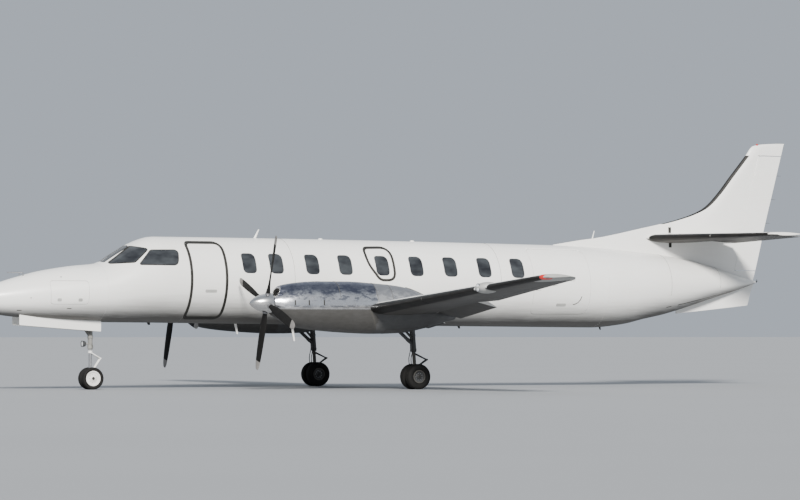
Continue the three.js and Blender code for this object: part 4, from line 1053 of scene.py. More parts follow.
class Panel:
    """A wing or tail surface. narrow and thin draw its chord and depth in towards a rounded tip."""

    def __init__(self, lead, chord, depth, level, camber=0.0, rise=lambda span: 0.0, narrow=None, thin=None,
                 draw_back=0.6):
        self.lead, self.chord, self.depth, self.level = lead, chord, depth, level
        self.camber, self.rise, self.draw_back = camber, rise, draw_back
        self.narrow = narrow or (lambda span: 1.0)
        self.thin = thin or (lambda span: 1.0)

    def place(self, span, share, face):
        """Station and height of the skin. face is 1 on top, -1 below and 0 on the middle line."""
        full = self.chord(span)
        chord = full * self.narrow(span)
        back = (full - chord) * self.draw_back + share * chord
        depth = self.depth(span) * self.thin(span)
        up = 4 * self.camber * share * (1 - share) * chord + face * depth * half_depth(share)
        return self.lead(span) + back, self.level(span) + up + self.rise(span) * (0.4 - back / full)

    def outline(self, span, upper=1.0, lower=1.0, steps=SECTION_STEPS):
        """The section from a share on top, round the nose, to a share below."""
        rows = [0.5 * (1 - math.cos(math.pi * step / steps)) for step in range(steps + 1)]
        top = [self.place(span, share * upper, 1) for share in reversed(rows)]
        return top + [self.place(span, share * lower, -1) for share in rows[1:]]

    def solid(self, spans, side):
        loops = [[spot(back, side * span, height) for back, height in self.outline(span)] for span in spans]
        return Shape().loft(loops)

    def strip(self, shape, spans, side, upper, lower, proud, sunk=0.003):
        """A thin sheet round the leading edge, such as an ice boot."""
        loops = []
        for span in spans:
            path = self.outline(span, upper, lower, 14)
            outer, inner = pushed(path, proud), pushed(path, -sunk)
            loops.append([spot(back, side * span, height) for back, height in outer + inner[::-1]])
        return shape.loft(loops)

    def hinge(self, span, share, side):
        station, height = self.place(span, share, 0)
        return spot(station, side * span, height)


def pushed(path, distance):
    """An open path moved to its left, which is outwards on a section that starts on top."""
    moved = []
    for index, (a, b) in enumerate(path):
        before, after = path[max(index - 1, 0)], path[min(index + 1, len(path) - 1)]
        along = (after[0] - before[0], after[1] - before[1])
        size = math.hypot(*along)
        moved.append((a + along[1] / size * distance, b - along[0] / size * distance))
    return moved


def behind_hinge(start, end, noses, grow=0.0, end_gap=0.0):
    """All that lies behind a hinge line, and its round nose."""
    along = (end - start).normalized()
    ahead = Vector(FORE)
    ahead = (ahead - along * ahead.dot(along)).normalized()
    up = ahead.cross(along)
    loops = []
    for place, nose, way in ((start, noses[0], -1), (end, noses[1], 1)):
        centre = place + along * end_gap * way
        arc = [
            centre + (nose + grow) * (math.cos(turn) * up + math.sin(turn) * ahead)
            for turn in (math.pi * step / 24 for step in range(25))
        ]
        behind = Vector((-CUT_BACK, 0, 0))
        high, low = centre + up * CUT_HALF, centre - up * CUT_HALF
        loops.append([high + behind, high, *arc, low, low + behind])
    return Shape().loft(loops)


def turned(thing, start, end, angle):
    """The mesh turned about a hinge line."""
    turn = Matrix.Rotation(angle, 4, (end - start).normalized())
    thing.data.transform(Matrix.Translation(start) @ turn @ Matrix.Translation(-start))
    return thing


# %% Wings, flaps, ailerons and tips
HALF_SPAN = 8.685
TIP_JOINT = 8.2
HINGE_SHARE = 0.74
SURFACE_GAP, SURFACE_END_GAP = 0.0065, 0.014
NOSE_SWELL = 1.02
FLAP_DROOP = math.radians(18)
MOVING_SPANS = (
    ("flap_inner", "flap_panel_inner", 0.96, 1.88, math.radians(35)),
    ("flap_outer", "flap_panel_outer", 2.69, 4.55, math.radians(35)),
    ("aileron", "aileron_panel", 4.64, 8.12, math.radians(40)),
)
tip_spans = [8.2, 8.48, 8.6, 8.66, HALF_SPAN]
wing = Panel(
    lead=lambda span: 6.88 + 0.0806 * span,
    chord=lambda span: 2.45 - 1.59 * span / HALF_SPAN,
    depth=lambda span: 0.367 - 0.26 * span / HALF_SPAN,
    level=lambda span: 1.3 + 0.0925 * span,
    camber=0.018,
    rise=lambda span: 0.051 * (1 - span / HALF_SPAN),
    narrow=Line([0.0] + tip_spans, [1.0, 1.0, 0.84, 0.76, 0.64, 0.53]),
    thin=Line([0.0] + tip_spans, [1.0, 1.0, 0.95, 0.86, 0.68, 0.4]),
    draw_back=0.25,
)
belly = hull_part(5.9, 10.6, 0.12)
fixed_spans = [0.0005] + steps_between(0.1, TIP_JOINT - SEAM, 0.3)
for side, word in SIDES:
    fixed = loose(f"wing_skin_{word}", wing.solid(fixed_spans, side))
    cut(fixed, belly)
    for node, body, start, end, travel in MOVING_SPANS:
        ends = [wing.hinge(span, HINGE_SHARE, side) for span in (start, end)]
        noses = [
            half_depth(HINGE_SHARE) * wing.depth(span) * NOSE_SWELL / math.cos(travel / 2) + 0.002
            for span in (start, end)
        ]
        moving = loose(f"{node}_skin_{word}", wing.solid(steps_between(start - 0.1, end + 0.1, 0.3), side))
        cut(moving, behind_hinge(*ends, noses), "INTERSECT")
        if node != "aileron":
            turned(moving, *ends, -side * FLAP_DROOP)
        settle(moving, SURFACE_WHITE, f"{body}_{word}", [f"{node}_{word}"])
        cut(fixed, behind_hinge(*ends, noses, SURFACE_GAP, SURFACE_END_GAP))
    settle(fixed, SURFACE_WHITE, "airframe", [f"wing_{word}"])
    tip_rows = steps_between(TIP_JOINT, 8.6, 0.08) + steps_between(8.61, HALF_SPAN, 0.008)
    make(
        f"wing_tip_cap_{word}", wing.solid(tip_rows, side), LIGHT_GREY, "airframe",
        [f"wing_tip_{word}"],
    )
print("wings: two panels, four flaps, two ailerons and two tips")

# %% [markdown]
# Ice boots are black rubber sheets glued round the leading edges. They are cut into lengths, and each length ends
# short of the next one. The landing lamps shine from raised fairings on the leading edge, behind clear covers.

# %% Boots, landing lamps and navigation lamps
BOOT_PROUD = 0.0022
LAMP_SPAN = 6.6
LAMP_RISE = 0.012
LAMP_HALF_WIDTH, LAMP_STEPS = 0.19, 32
WING_BOOTS = ((1.0, 1.86), (2.61, 4.526), (4.534, 6.38), (6.82, 8.5))

for side, word in SIDES:
    boots = Shape()
    for start, end in WING_BOOTS:
        rows = steps_between(start, min(end, TIP_JOINT), 0.2)
        if end > TIP_JOINT:
            rows += steps_between(TIP_JOINT + 0.002, end, 0.04)
        wing.strip(boots, rows, side, 0.05, 0.11, BOOT_PROUD)
    make(f"wing_boots_{word}", boots, BOOT_RUBBER, "airframe")
    fairing_loops = []
    for step in range(LAMP_STEPS + 1):
        offset = LAMP_HALF_WIDTH * math.sin(math.pi * (step / LAMP_STEPS - 0.5))
        share = math.sqrt(max(0.0, 1 - (offset / 0.1901) ** 2)) ** 0.9
        span = LAMP_SPAN + offset
        centre = spot(wing.lead(span) + 0.15, side * span, wing.level(span) + LAMP_RISE)
        fairing_loops.append([
            centre + Vector((0.23 * share * math.cos(turn), 0, 0.105 * share * math.sin(turn)))
            for turn in full_turn(40)
        ])
    make(
        f"landing_lamp_fairing_{word}", Shape().loft(fairing_loops), LIGHT_GREY, "airframe",
        [f"landing_lamp_{word}"], 60,
    )
    nose = spot(wing.lead(LAMP_SPAN) - 0.062, side * LAMP_SPAN, wing.level(LAMP_SPAN) + LAMP_RISE)
    lens_profile = [(0.0, 0.022), (0.03, 0.02), (0.055, 0.010), (0.066, -0.004), (0.066, -0.03), (0.0, -0.03)]
    cover = Shape().lathe(lens_profile, nose - Vector((0.008, 0, 0)), FORE, 36)
    make(f"landing_lamp_cover_{word}", cover, LAMP_CLEAR, "airframe")
    ring_profile = [(0.066, -0.03), (0.078, -0.03), (0.078, 0.0), (0.066, 0.004)]
    ring = Shape().lathe(ring_profile, nose - Vector((0.01, 0, 0)), FORE, 36, True)
    make(f"landing_lamp_ring_{word}", ring, STEEL, "airframe")
    front, back = spot(7.585, side * 8.535, 2.093), spot(7.77, side * 8.618, 2.095)
    bulb = [
        (0.0, 0.0), (0.016, 0.003), (0.032, 0.016), (0.044, 0.042), (0.049, 0.085), (0.049, 0.19),
        (0.038, 0.235), (0.0, 0.238),
    ]
    lamp = Shape().lathe(bulb, front, back - front, 28)
    lamp_finish = LAMP_RED if side > 0 else LAMP_GREEN
    make(f"navigation_lamp_{word}", lamp, lamp_finish, "airframe", crease=60)
print("leading edges:", 2 * len(WING_BOOTS), "boots and four lamps")

# %% [markdown]
# The tailplane sits part way up the fin. The fin is not an aerofoil of one shape: low down it runs forward as a
# sharp dorsal fillet, and higher up it has a round nose, so each level has its own leading edge, widest station and
# bluntness. Two curves meet at the widest station, and a soft minimum joins them without a crease.

# %% Tailplane and elevators
TAIL_ROOT = {"span": 0.07, "lead": 14.72, "trail": 16.735, "height": 3.058}
TAIL_TIP = {"span": 2.43, "lead": 16.31, "trail": 17.05, "height": 3.11}
ELEVATOR_SPANS = (0.19, 2.33)
ELEVATOR_HINGE = (16.17, 16.745)
ELEVATOR_NOSES = (0.062, 0.035)
ELEVATOR_END_GAP = 0.02
ELEVATOR_DROOP = math.radians(10)


def tail_mix(key, span):
    share = (span - TAIL_ROOT["span"]) / (TAIL_TIP["span"] - TAIL_ROOT["span"])
    return TAIL_ROOT[key] + (TAIL_TIP[key] - TAIL_ROOT[key]) * share


tail_round = Line([0.0, 2.34, 2.4, 2.43], [1.0, 1.0, 0.94, 0.82])
tailplane = Panel(
    lead=lambda span: tail_mix("lead", span),
    chord=lambda span: tail_mix("trail", span) - tail_mix("lead", span),
    depth=lambda span: 0.1 * (tail_mix("trail", span) - tail_mix("lead", span)),
    level=lambda span: tail_mix("height", span),
    narrow=tail_round,
    thin=tail_round,
)


def elevator_hinge(span, side):
    share = (span - TAIL_ROOT["span"]) / (TAIL_TIP["span"] - TAIL_ROOT["span"])
    station = ELEVATOR_HINGE[0] + (ELEVATOR_HINGE[1] - ELEVATOR_HINGE[0]) * share
    return spot(station, side * span, tail_mix("height", span))


for side, word in SIDES:
    rows = steps_between(0.03, 2.34, 0.2) + steps_between(2.35, 2.43, 0.008)
    fixed = loose(f"stabilizer_skin_{word}", tailplane.solid(rows, side))
    ends = [elevator_hinge(span, side) for span in ELEVATOR_SPANS]
    moving = loose(f"elevator_skin_{word}", tailplane.solid(rows, side))
    cut(moving, behind_hinge(*ends, ELEVATOR_NOSES), "INTERSECT")
    turned(moving, *ends, -side * ELEVATOR_DROOP)
    settle(moving, SURFACE_WHITE, f"elevator_panel_{word}", [f"elevator_{word}"])
    cut(fixed, behind_hinge(*ends, ELEVATOR_NOSES, SURFACE_GAP, ELEVATOR_END_GAP))
    settle(fixed, SURFACE_WHITE, "airframe", [f"stabilizer_{word}"])
    boots = Shape()
    for start, end in ((0.1, 1.246), (1.254, 2.32)):
        tailplane.strip(boots, steps_between(start, end, 0.2), side, 0.07, 0.07, BOOT_PROUD)
    make(f"tailplane_boots_{word}", boots, BOOT_RUBBER, "airframe")
print("tailplane: two stabilizers, two elevators and four boots")

# %% Fin and rudder
FIN_LEVELS = (
    # height, lead, thickest, half thickness, trail, bluntness
    (2.15, 12.9, 15.9, 0.084, 17.3, 1.1),
    (2.45, 12.7, 15.9, 0.084, 17.382, 1.1),
    (2.89, 12.53, 15.9, 0.084, 17.495, 1.1),
    (3.056, 13.64, 16.0, 0.084, 17.534, 1.0),
    (3.247, 14.58, 16.08, 0.084, 17.58, 0.9),
    (3.4, 15.29, 16.15, 0.084, 17.62, 0.75),
    (3.555, 15.81, 16.26, 0.083, 17.662, 0.6),
    (3.703, 16.12, 16.4, 0.082, 17.702, 0.5),
    (3.988, 16.43, 16.64, 0.08, 17.782, 0.5),
    (4.354, 16.74, 16.93, 0.074, 17.882, 0.5),
    (4.83, 17.15, 17.32, 0.066, 18.012, 0.5),
    (5.008, 17.3, 17.47, 0.05, 18.06, 0.5),
    (5.056, 17.52, 17.64, 0.028, 18.073, 0.5),
    (5.08, 17.9, 17.96, 0.012, 18.09, 0.5),
)
FIN_TRAIL = 0.005
FIN_SOFTNESS = 0.007
FIN_NOSE_STEPS = 22
SWOLLEN = 0.007
RUDDER_LOW, RUDDER_HIGH = (16.88, 2.4), (17.452, 4.8)
RUDDER_NOSES = (0.046, 0.062)
fin_levels = [row[0] for row in FIN_LEVELS]
fin_lead, fin_thickest, fin_half, fin_trail, fin_blunt = (
    Line(fin_levels, [row[column] for row in FIN_LEVELS]) for column in range(1, 6)
)


def fin_side(height, back):
    """Half the thickness of the fin at a level and a station."""
    lead, thickest, half, trail = (line(height) for line in (fin_lead, fin_thickest, fin_half, fin_trail))
    share = max(0.0, (back - lead) / (thickest - lead))
    fore = half * share ** fin_blunt(height)
    aft = FIN_TRAIL + (half - FIN_TRAIL) * (trail - back) / (trail - thickest)
    soft = FIN_SOFTNESS * min(1.0, half / 0.06)
    return -soft * math.log(math.exp(-fore / soft) + math.exp(-aft / soft)) * (1 if share > 0 else 0)


def fin_outline(height):
    lead, thickest, trail = fin_lead(height), fin_thickest(height), fin_trail(height)
    stations = [
        lead + (thickest - lead) * (step / FIN_NOSE_STEPS) ** 2.2 for step in range(FIN_NOSE_STEPS + 1)
    ]
    stations += [thickest + (trail - thickest) * step / 14 for step in range(1, 15)]
    return [(back, max(0.0, fin_side(height, back))) for back in stations]


def fin_loop(height):
    port = fin_outline(height)
    starboard = [(back, -side) for back, side in port[:0:-1]]
    return [spot(back, side, height) for back, side in port + starboard]


fin_rows = steps_between(2.15, 3.0, 0.12) + steps_between(3.03, 4.95, 0.04) + steps_between(4.96, 5.08, 0.008)
fin = loose("fin_skin", Shape().loft([fin_loop(height) for height in fin_rows]))
rudder = loose("rudder_skin", Shape().loft([fin_loop(height) for height in fin_rows]))
rudder_ends = [spot(station, 0.0, height) for station, height in (RUDDER_LOW, RUDDER_HIGH)]
cut(rudder, behind_hinge(*rudder_ends, RUDDER_NOSES), "INTERSECT")
swollen = [
    FUSELAGE.loop(station, 48, SWOLLEN) for station in steps_between(15.9, 17.35, 0.1)
]
cut(rudder, Shape().loft(swollen))
cut(fin, behind_hinge(*rudder_ends, RUDDER_NOSES, SURFACE_GAP, SURFACE_END_GAP))
cut(fin, hull_part(12.0, 17.35, 0.12))
settle(fin, SURFACE_WHITE, "airframe", ["fin"], 40)
settle(rudder, SURFACE_WHITE, "rudder_panel", ["rudder"], 40)


def fin_strip(shape, heights, reach, proud, sunk=0.003):
    """A sheet round the leading edge of the fin, reach metres deep on each side."""
    loops = []
    for height in heights:
        lead = fin_lead(height)
        stations = [lead + reach * (step / 12) ** 2 for step in range(12, 0, -1)]
        port = [(back, fin_side(height, back)) for back in stations]
        path = port + [(lead, 0.0)] + [(back, -side) for back, side in reversed(port)]
        outer, inner = pushed(path, -proud), pushed(path, sunk)
        loops.append([spot(back, side, height) for back, side in outer + inner[::-1]])
    return shape.loft(loops)


boot = Shape()
fin_strip(boot, steps_between(3.35, 4.815, 0.04), 0.07, BOOT_PROUD)
make("fin_boot", boot, BOOT_RUBBER, "airframe")
print("fin, rudder and fin boot")

# %% [markdown]
# A nacelle is a hull like the fuselage, with its own rows. The intake and the exhaust are real openings, so they
# are cut with solids and get liners of their own. The intake's liner is painted near black as the shade inside the
# duct, and the exhaust's is dark burnt metal. The mouth of the intake has a rolled lip, because sheet metal is never
# left with a raw edge towards the airflow.

# %% Nacelles
NACELLE_SIDES = 72
NACELLE_ROWS = (
    # station, top, bottom, half width, widest height
    (5.185, 1.848, 1.425, 0.19, 1.65),
    (5.43, 1.935, 1.29, 0.282, 1.618),
    (5.58, 2.005, 1.224, 0.318, 1.6),
    (5.78, 2.06, 1.178, 0.348, 1.59),
    (6.21, 2.084, 1.129, 0.38, 1.58),
    (6.84, 2.081, 1.088, 0.39, 1.565),
    (7.27, 2.055, 1.074, 0.39, 1.545),
    (7.91, 1.99, 1.092, 0.385, 1.51),
    (8.37, 1.84, 1.17, 0.345, 1.49),
    (8.56, 1.64, 1.222, 0.3, 1.45),
    (9.06, 1.44, 1.345, 0.13, 1.4),
)
SCOOP_ROWS = (
    (5.275, 1.972, 1.74, 0.172, 1.862), (5.43, 2.015, 1.72, 0.196, 1.858), (5.62, 2.047, 1.71, 0.19, 1.85),
    (5.9, 2.074, 1.7, 0.15, 1.84),
)
INTAKE = {"front": 5.17, "back": 5.56, "height": 1.87, "half_width": 0.14, "half_height": 0.074}
MOUTH_STATION, MOUTH_SLOPE = 5.287, 0.45
LIP_ROLL = (0.009, 0.007)
EXHAUST = {"front": 8.08, "back": 8.8, "height": 1.748, "radius": 0.092}
PROPELLER_HEIGHT = 1.66


def on_nacelle(station, height, side, off=0.0):
    return spot(station, side * NACELLE_SPAN + off, height)


def mouth(station, side, share=1.0, slope=0.0, grow=0.0):
    """The opening of the intake at a station. slope carries its upper edge aft."""
    width, height = INTAKE["half_width"] * share + grow, INTAKE["half_height"] * share + grow
    return [
        on_nacelle(
            station + slope * height * math.sin(turn), INTAKE["height"] + height * math.sin(turn), side,
            width * math.cos(turn),
        )
        for turn in full_turn(40)
    ]


def smooth_path(points, steps=6):
    """A curve through every point of an open path."""
    path = []
    for index in range(len(points) - 1):
        a, b, c, d = (Vector(points[min(max(index + step, 0), len(points) - 1)]) for step in (-1, 0, 1, 2))
        for step in range(steps):
            t = step / steps
            square, cube = 2 * a - 5 * b + 4 * c - d, 3 * b - a - 3 * c + d
            path.append(0.5 * (2 * b + (c - a) * t + square * t * t + cube * t ** 3))
    return path + [Vector(points[-1])]


nacelle_hulls = {side: Hull(NACELLE_ROWS, side * NACELLE_SPAN) for side, _ in SIDES}
for side, word in SIDES:
    body_hull = nacelle_hulls[side]
    cowl = loose(
        f"nacelle_skin_{word}",
        Shape().loft(
            [body_hull.loop(station, NACELLE_SIDES) for station in steps_between(5.185, 9.06, 0.07)]
        ),
    )
    scoop = Hull(SCOOP_ROWS, side * NACELLE_SPAN)
    cut(cowl, Shape().loft([scoop.loop(station, 40) for station in steps_between(5.275, 5.9, 0.05)]), "UNION")
    wedge = [
        (5.1, 1.77), (MOUTH_STATION - MOUTH_SLOPE * 0.1, 1.77), (MOUTH_STATION + MOUTH_SLOPE * 0.13, 2.0),
        (5.1, 2.0),
    ]
    cut(cowl, Shape().plate([on_nacelle(*corner, side, -0.3) for corner in wedge], Vector((0, 0.6, 0))))
    cut(cowl, Shape().loft([mouth(INTAKE["front"], side), mouth(INTAKE["back"], side)]))
    cut(
        cowl,
        Shape().rod(on_nacelle(5.15, PROPELLER_HEIGHT, side), on_nacelle(5.6, PROPELLER_HEIGHT, side), 0.059),
    )
    pipe = [on_nacelle(EXHAUST[end], EXHAUST["height"], side) for end in ("front", "back")]
    cut(cowl, Shape().rod(*pipe, EXHAUST["radius"], sides=40))
    settle(cowl, COWLING, "airframe", [f"nacelle_{word}"], 40)

    duct = [
        mouth(MOUTH_STATION, side, 1.0, MOUTH_SLOPE, 0.001), mouth(5.42, side, 0.95), mouth(5.55, side, 0.82),
    ]
    inside = [mouth(5.54, side, 0.78), mouth(5.42, side, 0.9), mouth(MOUTH_STATION, side, 0.97, MOUTH_SLOPE)]
    # The duct is painted near black as the shade inside the intake.
    make(f"intake_duct_{word}", Shape().loft(duct + inside), TRIM_SEAL, "airframe")
    lip_rings = [
        mouth(
            MOUTH_STATION + LIP_ROLL[0] * math.sin(bend), side, 1.0, MOUTH_SLOPE,
            LIP_ROLL[1] + LIP_ROLL[1] * math.cos(bend),
        )
        for bend in full_turn(10)
    ]
    make(
        f"intake_lip_{word}", Shape().loft(lip_rings, ring=True), SPINNER_METAL, "airframe",
    )

    liner = [
        (0.0, 0.0), (0.091, 0.0), (0.091, 0.34), (0.0935, 0.355), (0.0905, 0.364), (0.083, 0.36),
        (0.081, 0.02), (0.0, 0.02),
    ]
    exhaust = Shape().lathe(liner, pipe[0], AFT, 40)
    make(f"exhaust_pipe_{word}", exhaust, EXHAUST_METAL, "airframe")
print("nacelles: two cowlings with intakes and exhausts")

# %% [markdown]
# A propeller blade is a row of sections on a radius. Near the hub it is a round root, and further out it flattens
# and its pitch falls, because the tip moves faster than the root. The tips are painted light, so that people on the
# ground can see the disc. The blades are drawn darker than their black paint and the tips darker than their light
# paint, as painted shade. Both propellers turn the same way, so the second one is a copy and not a mirror image.

# %% Propellers and spinners
PROPELLER_STATION = 5.085
PROPELLER_RADIUS = 1.345
PROPELLER_TILT = math.radians(-19.5)
BLADE_COUNT = 4
BLADE_SIDES = 28
BLADE_ROOT_END, BLADE_FLAT_AFTER = 0.215, 0.2
SPINNER_STEPS = 28
SPINNER_RADIUS, SPINNER_LENGTH = 0.19, 0.448
TIP_PAINT = 1.175
blade_rows = (
    # radius, chord, thickness, pitch in degrees
    (0.06, 0.084, 0.084, 30.0),
    (0.215, 0.084, 0.084, 30.0),
    (0.33, 0.124, 0.052, 28.0),
    (0.56, 0.168, 0.03, 20.0),
    (0.94, 0.178, 0.02, 12.0),
    (1.24, 0.152, 0.013, 7.0),
    (1.337, 0.088, 0.008, 5.0),
    (1.345, 0.05, 0.006, 5.0),
)
blade_radii = [row[0] for row in blade_rows]
blade_chord, blade_thick, blade_pitch = (
    Line(blade_radii, [row[column] for row in blade_rows]) for column in (1, 2, 3)
)


def blade(shape, centre, angle, radii):
    outwards = Vector((0, -math.sin(angle), math.cos(angle)))
    ahead = Vector(FORE)
    loops = []
    for radius in radii:
        pitch = math.radians(blade_pitch(radius))
        chordwise = outwards.cross(ahead) * math.cos(pitch) + ahead * math.sin(pitch)
        through = chordwise.cross(outwards)
        flat = min(1.0, max(0.0, (radius - BLADE_ROOT_END) / BLADE_FLAT_AFTER))
        loop = []
        for turn in full_turn(BLADE_SIDES):
            edge = math.sin(turn) * abs(math.sin(turn)) ** (0.35 * flat)
            loop.append(
                centre + outwards * radius + chordwise * (blade_chord(radius) / 2 * math.cos(turn))
                + through * (blade_thick(radius) / 2 * edge)
            )
        loops.append(loop)
    return shape.loft(loops)


spinner_profile = [(0.0, 0.0)] + [
    (SPINNER_RADIUS * (1 - (step / SPINNER_STEPS) ** 2) ** 0.75, SPINNER_LENGTH * step / SPINNER_STEPS)
    for step in range(SPINNER_STEPS + 1)
]
dark_radii = steps_between(0.06, TIP_PAINT, 0.04)
light_radii = steps_between(TIP_PAINT, 1.31, 0.03) + steps_between(1.318, PROPELLER_RADIUS, 0.005)
for side, word in SIDES:
    centre = on_nacelle(PROPELLER_STATION, PROPELLER_HEIGHT, side)
    turning = f"propeller_unit_{word}"
    dark, light, cuffs = Shape(), Shape(), Shape()
    dark.rod(on_nacelle(5.13, PROPELLER_HEIGHT, side), on_nacelle(5.71, PROPELLER_HEIGHT, side), 0.039)
    for number in range(BLADE_COUNT):
        angle = PROPELLER_TILT + 2 * math.pi * number / BLADE_COUNT
        outwards = Vector((0, -math.sin(angle), math.cos(angle)))
        blade(dark, centre, angle, dark_radii)
        blade(light, centre, angle, light_radii)
        cuff = [(0.0, 0.13), (0.056, 0.13), (0.056, 0.188), (0.052, 0.2), (0.044, 0.204), (0.0, 0.204)]
        cuffs.lathe(cuff, centre, outwards, 32)
    make(f"propeller_blades_{word}", dark, BLADE_BLACK_AND_SHADE, turning, [f"propeller_{word}"], 50)
    make(f"propeller_tips_{word}", light, TIP_LIGHT_AND_SHADE, turning, crease=50)
    make(f"blade_cuffs_{word}", cuffs, ENGINE_STEEL, turning)
    spinner = Shape().lathe(spinner_profile, on_nacelle(5.168, PROPELLER_HEIGHT, side), FORE, 64)
    make(f"spinner_cone_{word}", spinner, SPINNER_METAL, turning, [f"spinner_{word}"], 50)
print("propellers:", 2 * BLADE_COUNT, "blades")

# %% [markdown]
# The main legs are dark and oily, and the nose leg is painted light. Each leg is a thick cylinder with a thinner
# piston below it. The main pistons are chromed steel, drawn in dark paint as painted shade. Torque links join the two
# like scissors, so the wheels can move up but cannot turn by themselves.

# %% Wheels and tyres
MAIN_TYRE = {"radius": 0.2475, "width": 0.171, "rim": 0.128, "spacing": 0.245, "station": 8.243}
NOSE_TYRE = {"radius": 0.215, "width": 0.112, "rim": 0.146, "spacing": 0.19, "station": 2.413}
MAIN_AXLE, NOSE_AXLE = ((tyre["station"], tyre["radius"]) for tyre in (MAIN_TYRE, NOSE_TYRE))
GROOVE_DEPTH, GROOVE_HALF = 0.005, 0.0028
WHEEL_HALF = 0.35


def tyre_profile(tyre):
    """Half of the section is drawn, from the bead to the shoulder, and then mirrored over the grooved tread."""
    half, rim, radius = tyre["width"] / 2, tyre["rim"], tyre["radius"]
    depth = radius - rim
    wall = smooth_path([
        (rim + 0.001, half * 0.7), (rim + depth * 0.2, half * 0.94), (rim + depth * 0.52, half * 0.995),
        (rim + depth * 0.8, half * 0.87), (rim + depth * 0.95, half * 0.64), (radius - 0.0015, half * 0.46),
    ], 5)
    tread = []
    for groove in (0.3, 0.0, -0.3):
        middle = groove * half
        for along, deep in (
            (GROOVE_HALF * 1.5, 0), (GROOVE_HALF, 1), (-GROOVE_HALF, 1), (-GROOVE_HALF * 1.5, 0),
        ):
            tread.append((radius - 0.0004 - deep * GROOVE_DEPTH, middle + along))
    other = [(far, -along) for far, along in reversed(wall)]
    return [tuple(place) for place in wall] + tread + [tuple(place) for place in other]


def wheel_disc(tyre, way):
    """A dished wheel: a flange at the rim, a web set back from it, and a cap over the axle."""
    half, rim = tyre["width"] * WHEEL_HALF, tyre["rim"]
    path = [
        (0.0, -half), (rim, -half), (rim, half), (rim * 0.9, half * 1.06), (rim * 0.84, half),
        (rim * 0.78, half * 0.62), (rim * 0.62, half * 0.5), (rim * 0.42, half * 0.56), (rim * 0.34, half * 0.7),
        (rim * 0.3, half * 1.02), (rim * 0.22, half * 1.1), (0.0, half * 1.12),
    ]
    return [(far, along * way) for far, along in path]


def wheels(tyre, span, names, hub_finish, ring_finish):
    """Two wheels on one axle, as pieces of one turning body."""
    body, word, nodes, tyre_nodes = names
    centre = spot(tyre["station"], span, tyre["radius"])
    hubs, rings = Shape(), Shape()
    hubs.rod(
        centre - Vector((0, tyre["spacing"] / 2, 0)), centre + Vector((0, tyre["spacing"] / 2, 0)), 0.017,
    )
    for way, node in zip((1, -1), tyre_nodes):
        middle = centre + Vector((0, way * tyre["spacing"] / 2, 0))
        hubs.lathe(wheel_disc(tyre, way), middle, PORT, 56)
        half, rim = tyre["width"] * WHEEL_HALF, tyre["rim"]
        ring = [
            (rim * 0.985, half * 0.98), (rim * 0.985, half * 1.09), (rim * 0.87, half * 1.1),
            (rim * 0.87, half),
        ]
        rings.lathe([(far, along * way) for far, along in ring], middle, PORT, 56, True)
        rubber_ring = Shape().lathe(tyre_profile(tyre), middle, PORT, 72, True)
        make(f"{node}_rubber", rubber_ring, TYRE_RUBBER_AND_SHADE, body, [node], 40)
    make(f"{word}_wheel_discs", hubs, hub_finish, body, nodes, 35)
    make(f"{word}_wheel_rings", rings, ring_finish, body, crease=35)


for side, word in SIDES:
    tyres = [f"main_tyre_outer_{word}", f"main_tyre_inner_{word}"]
    if side < 0:
        tyres.reverse()
    names = (f"wheel_pair_{word}", f"main_{word}", [f"main_wheels_{word}"], tyres)
    # The rings of the main wheels are metal, drawn in dark paint as painted shade.
    wheels(MAIN_TYRE, side * NACELLE_SPAN, names, GEAR_DARK, SEAM_DARK)
names = ("nose_wheel_pair", "nose", ["nose_wheels"], ["nose_tyre_left", "nose_tyre_right"])
wheels(NOSE_TYRE, 0.0, names, HUB_WHITE, HUB_WHITE)
print("wheels: six tyres on three axles")

# %% Main gear legs
LINK_KNEE = (8.49, 0.575)
BRACE_FOOT = (8.208, 0.85)

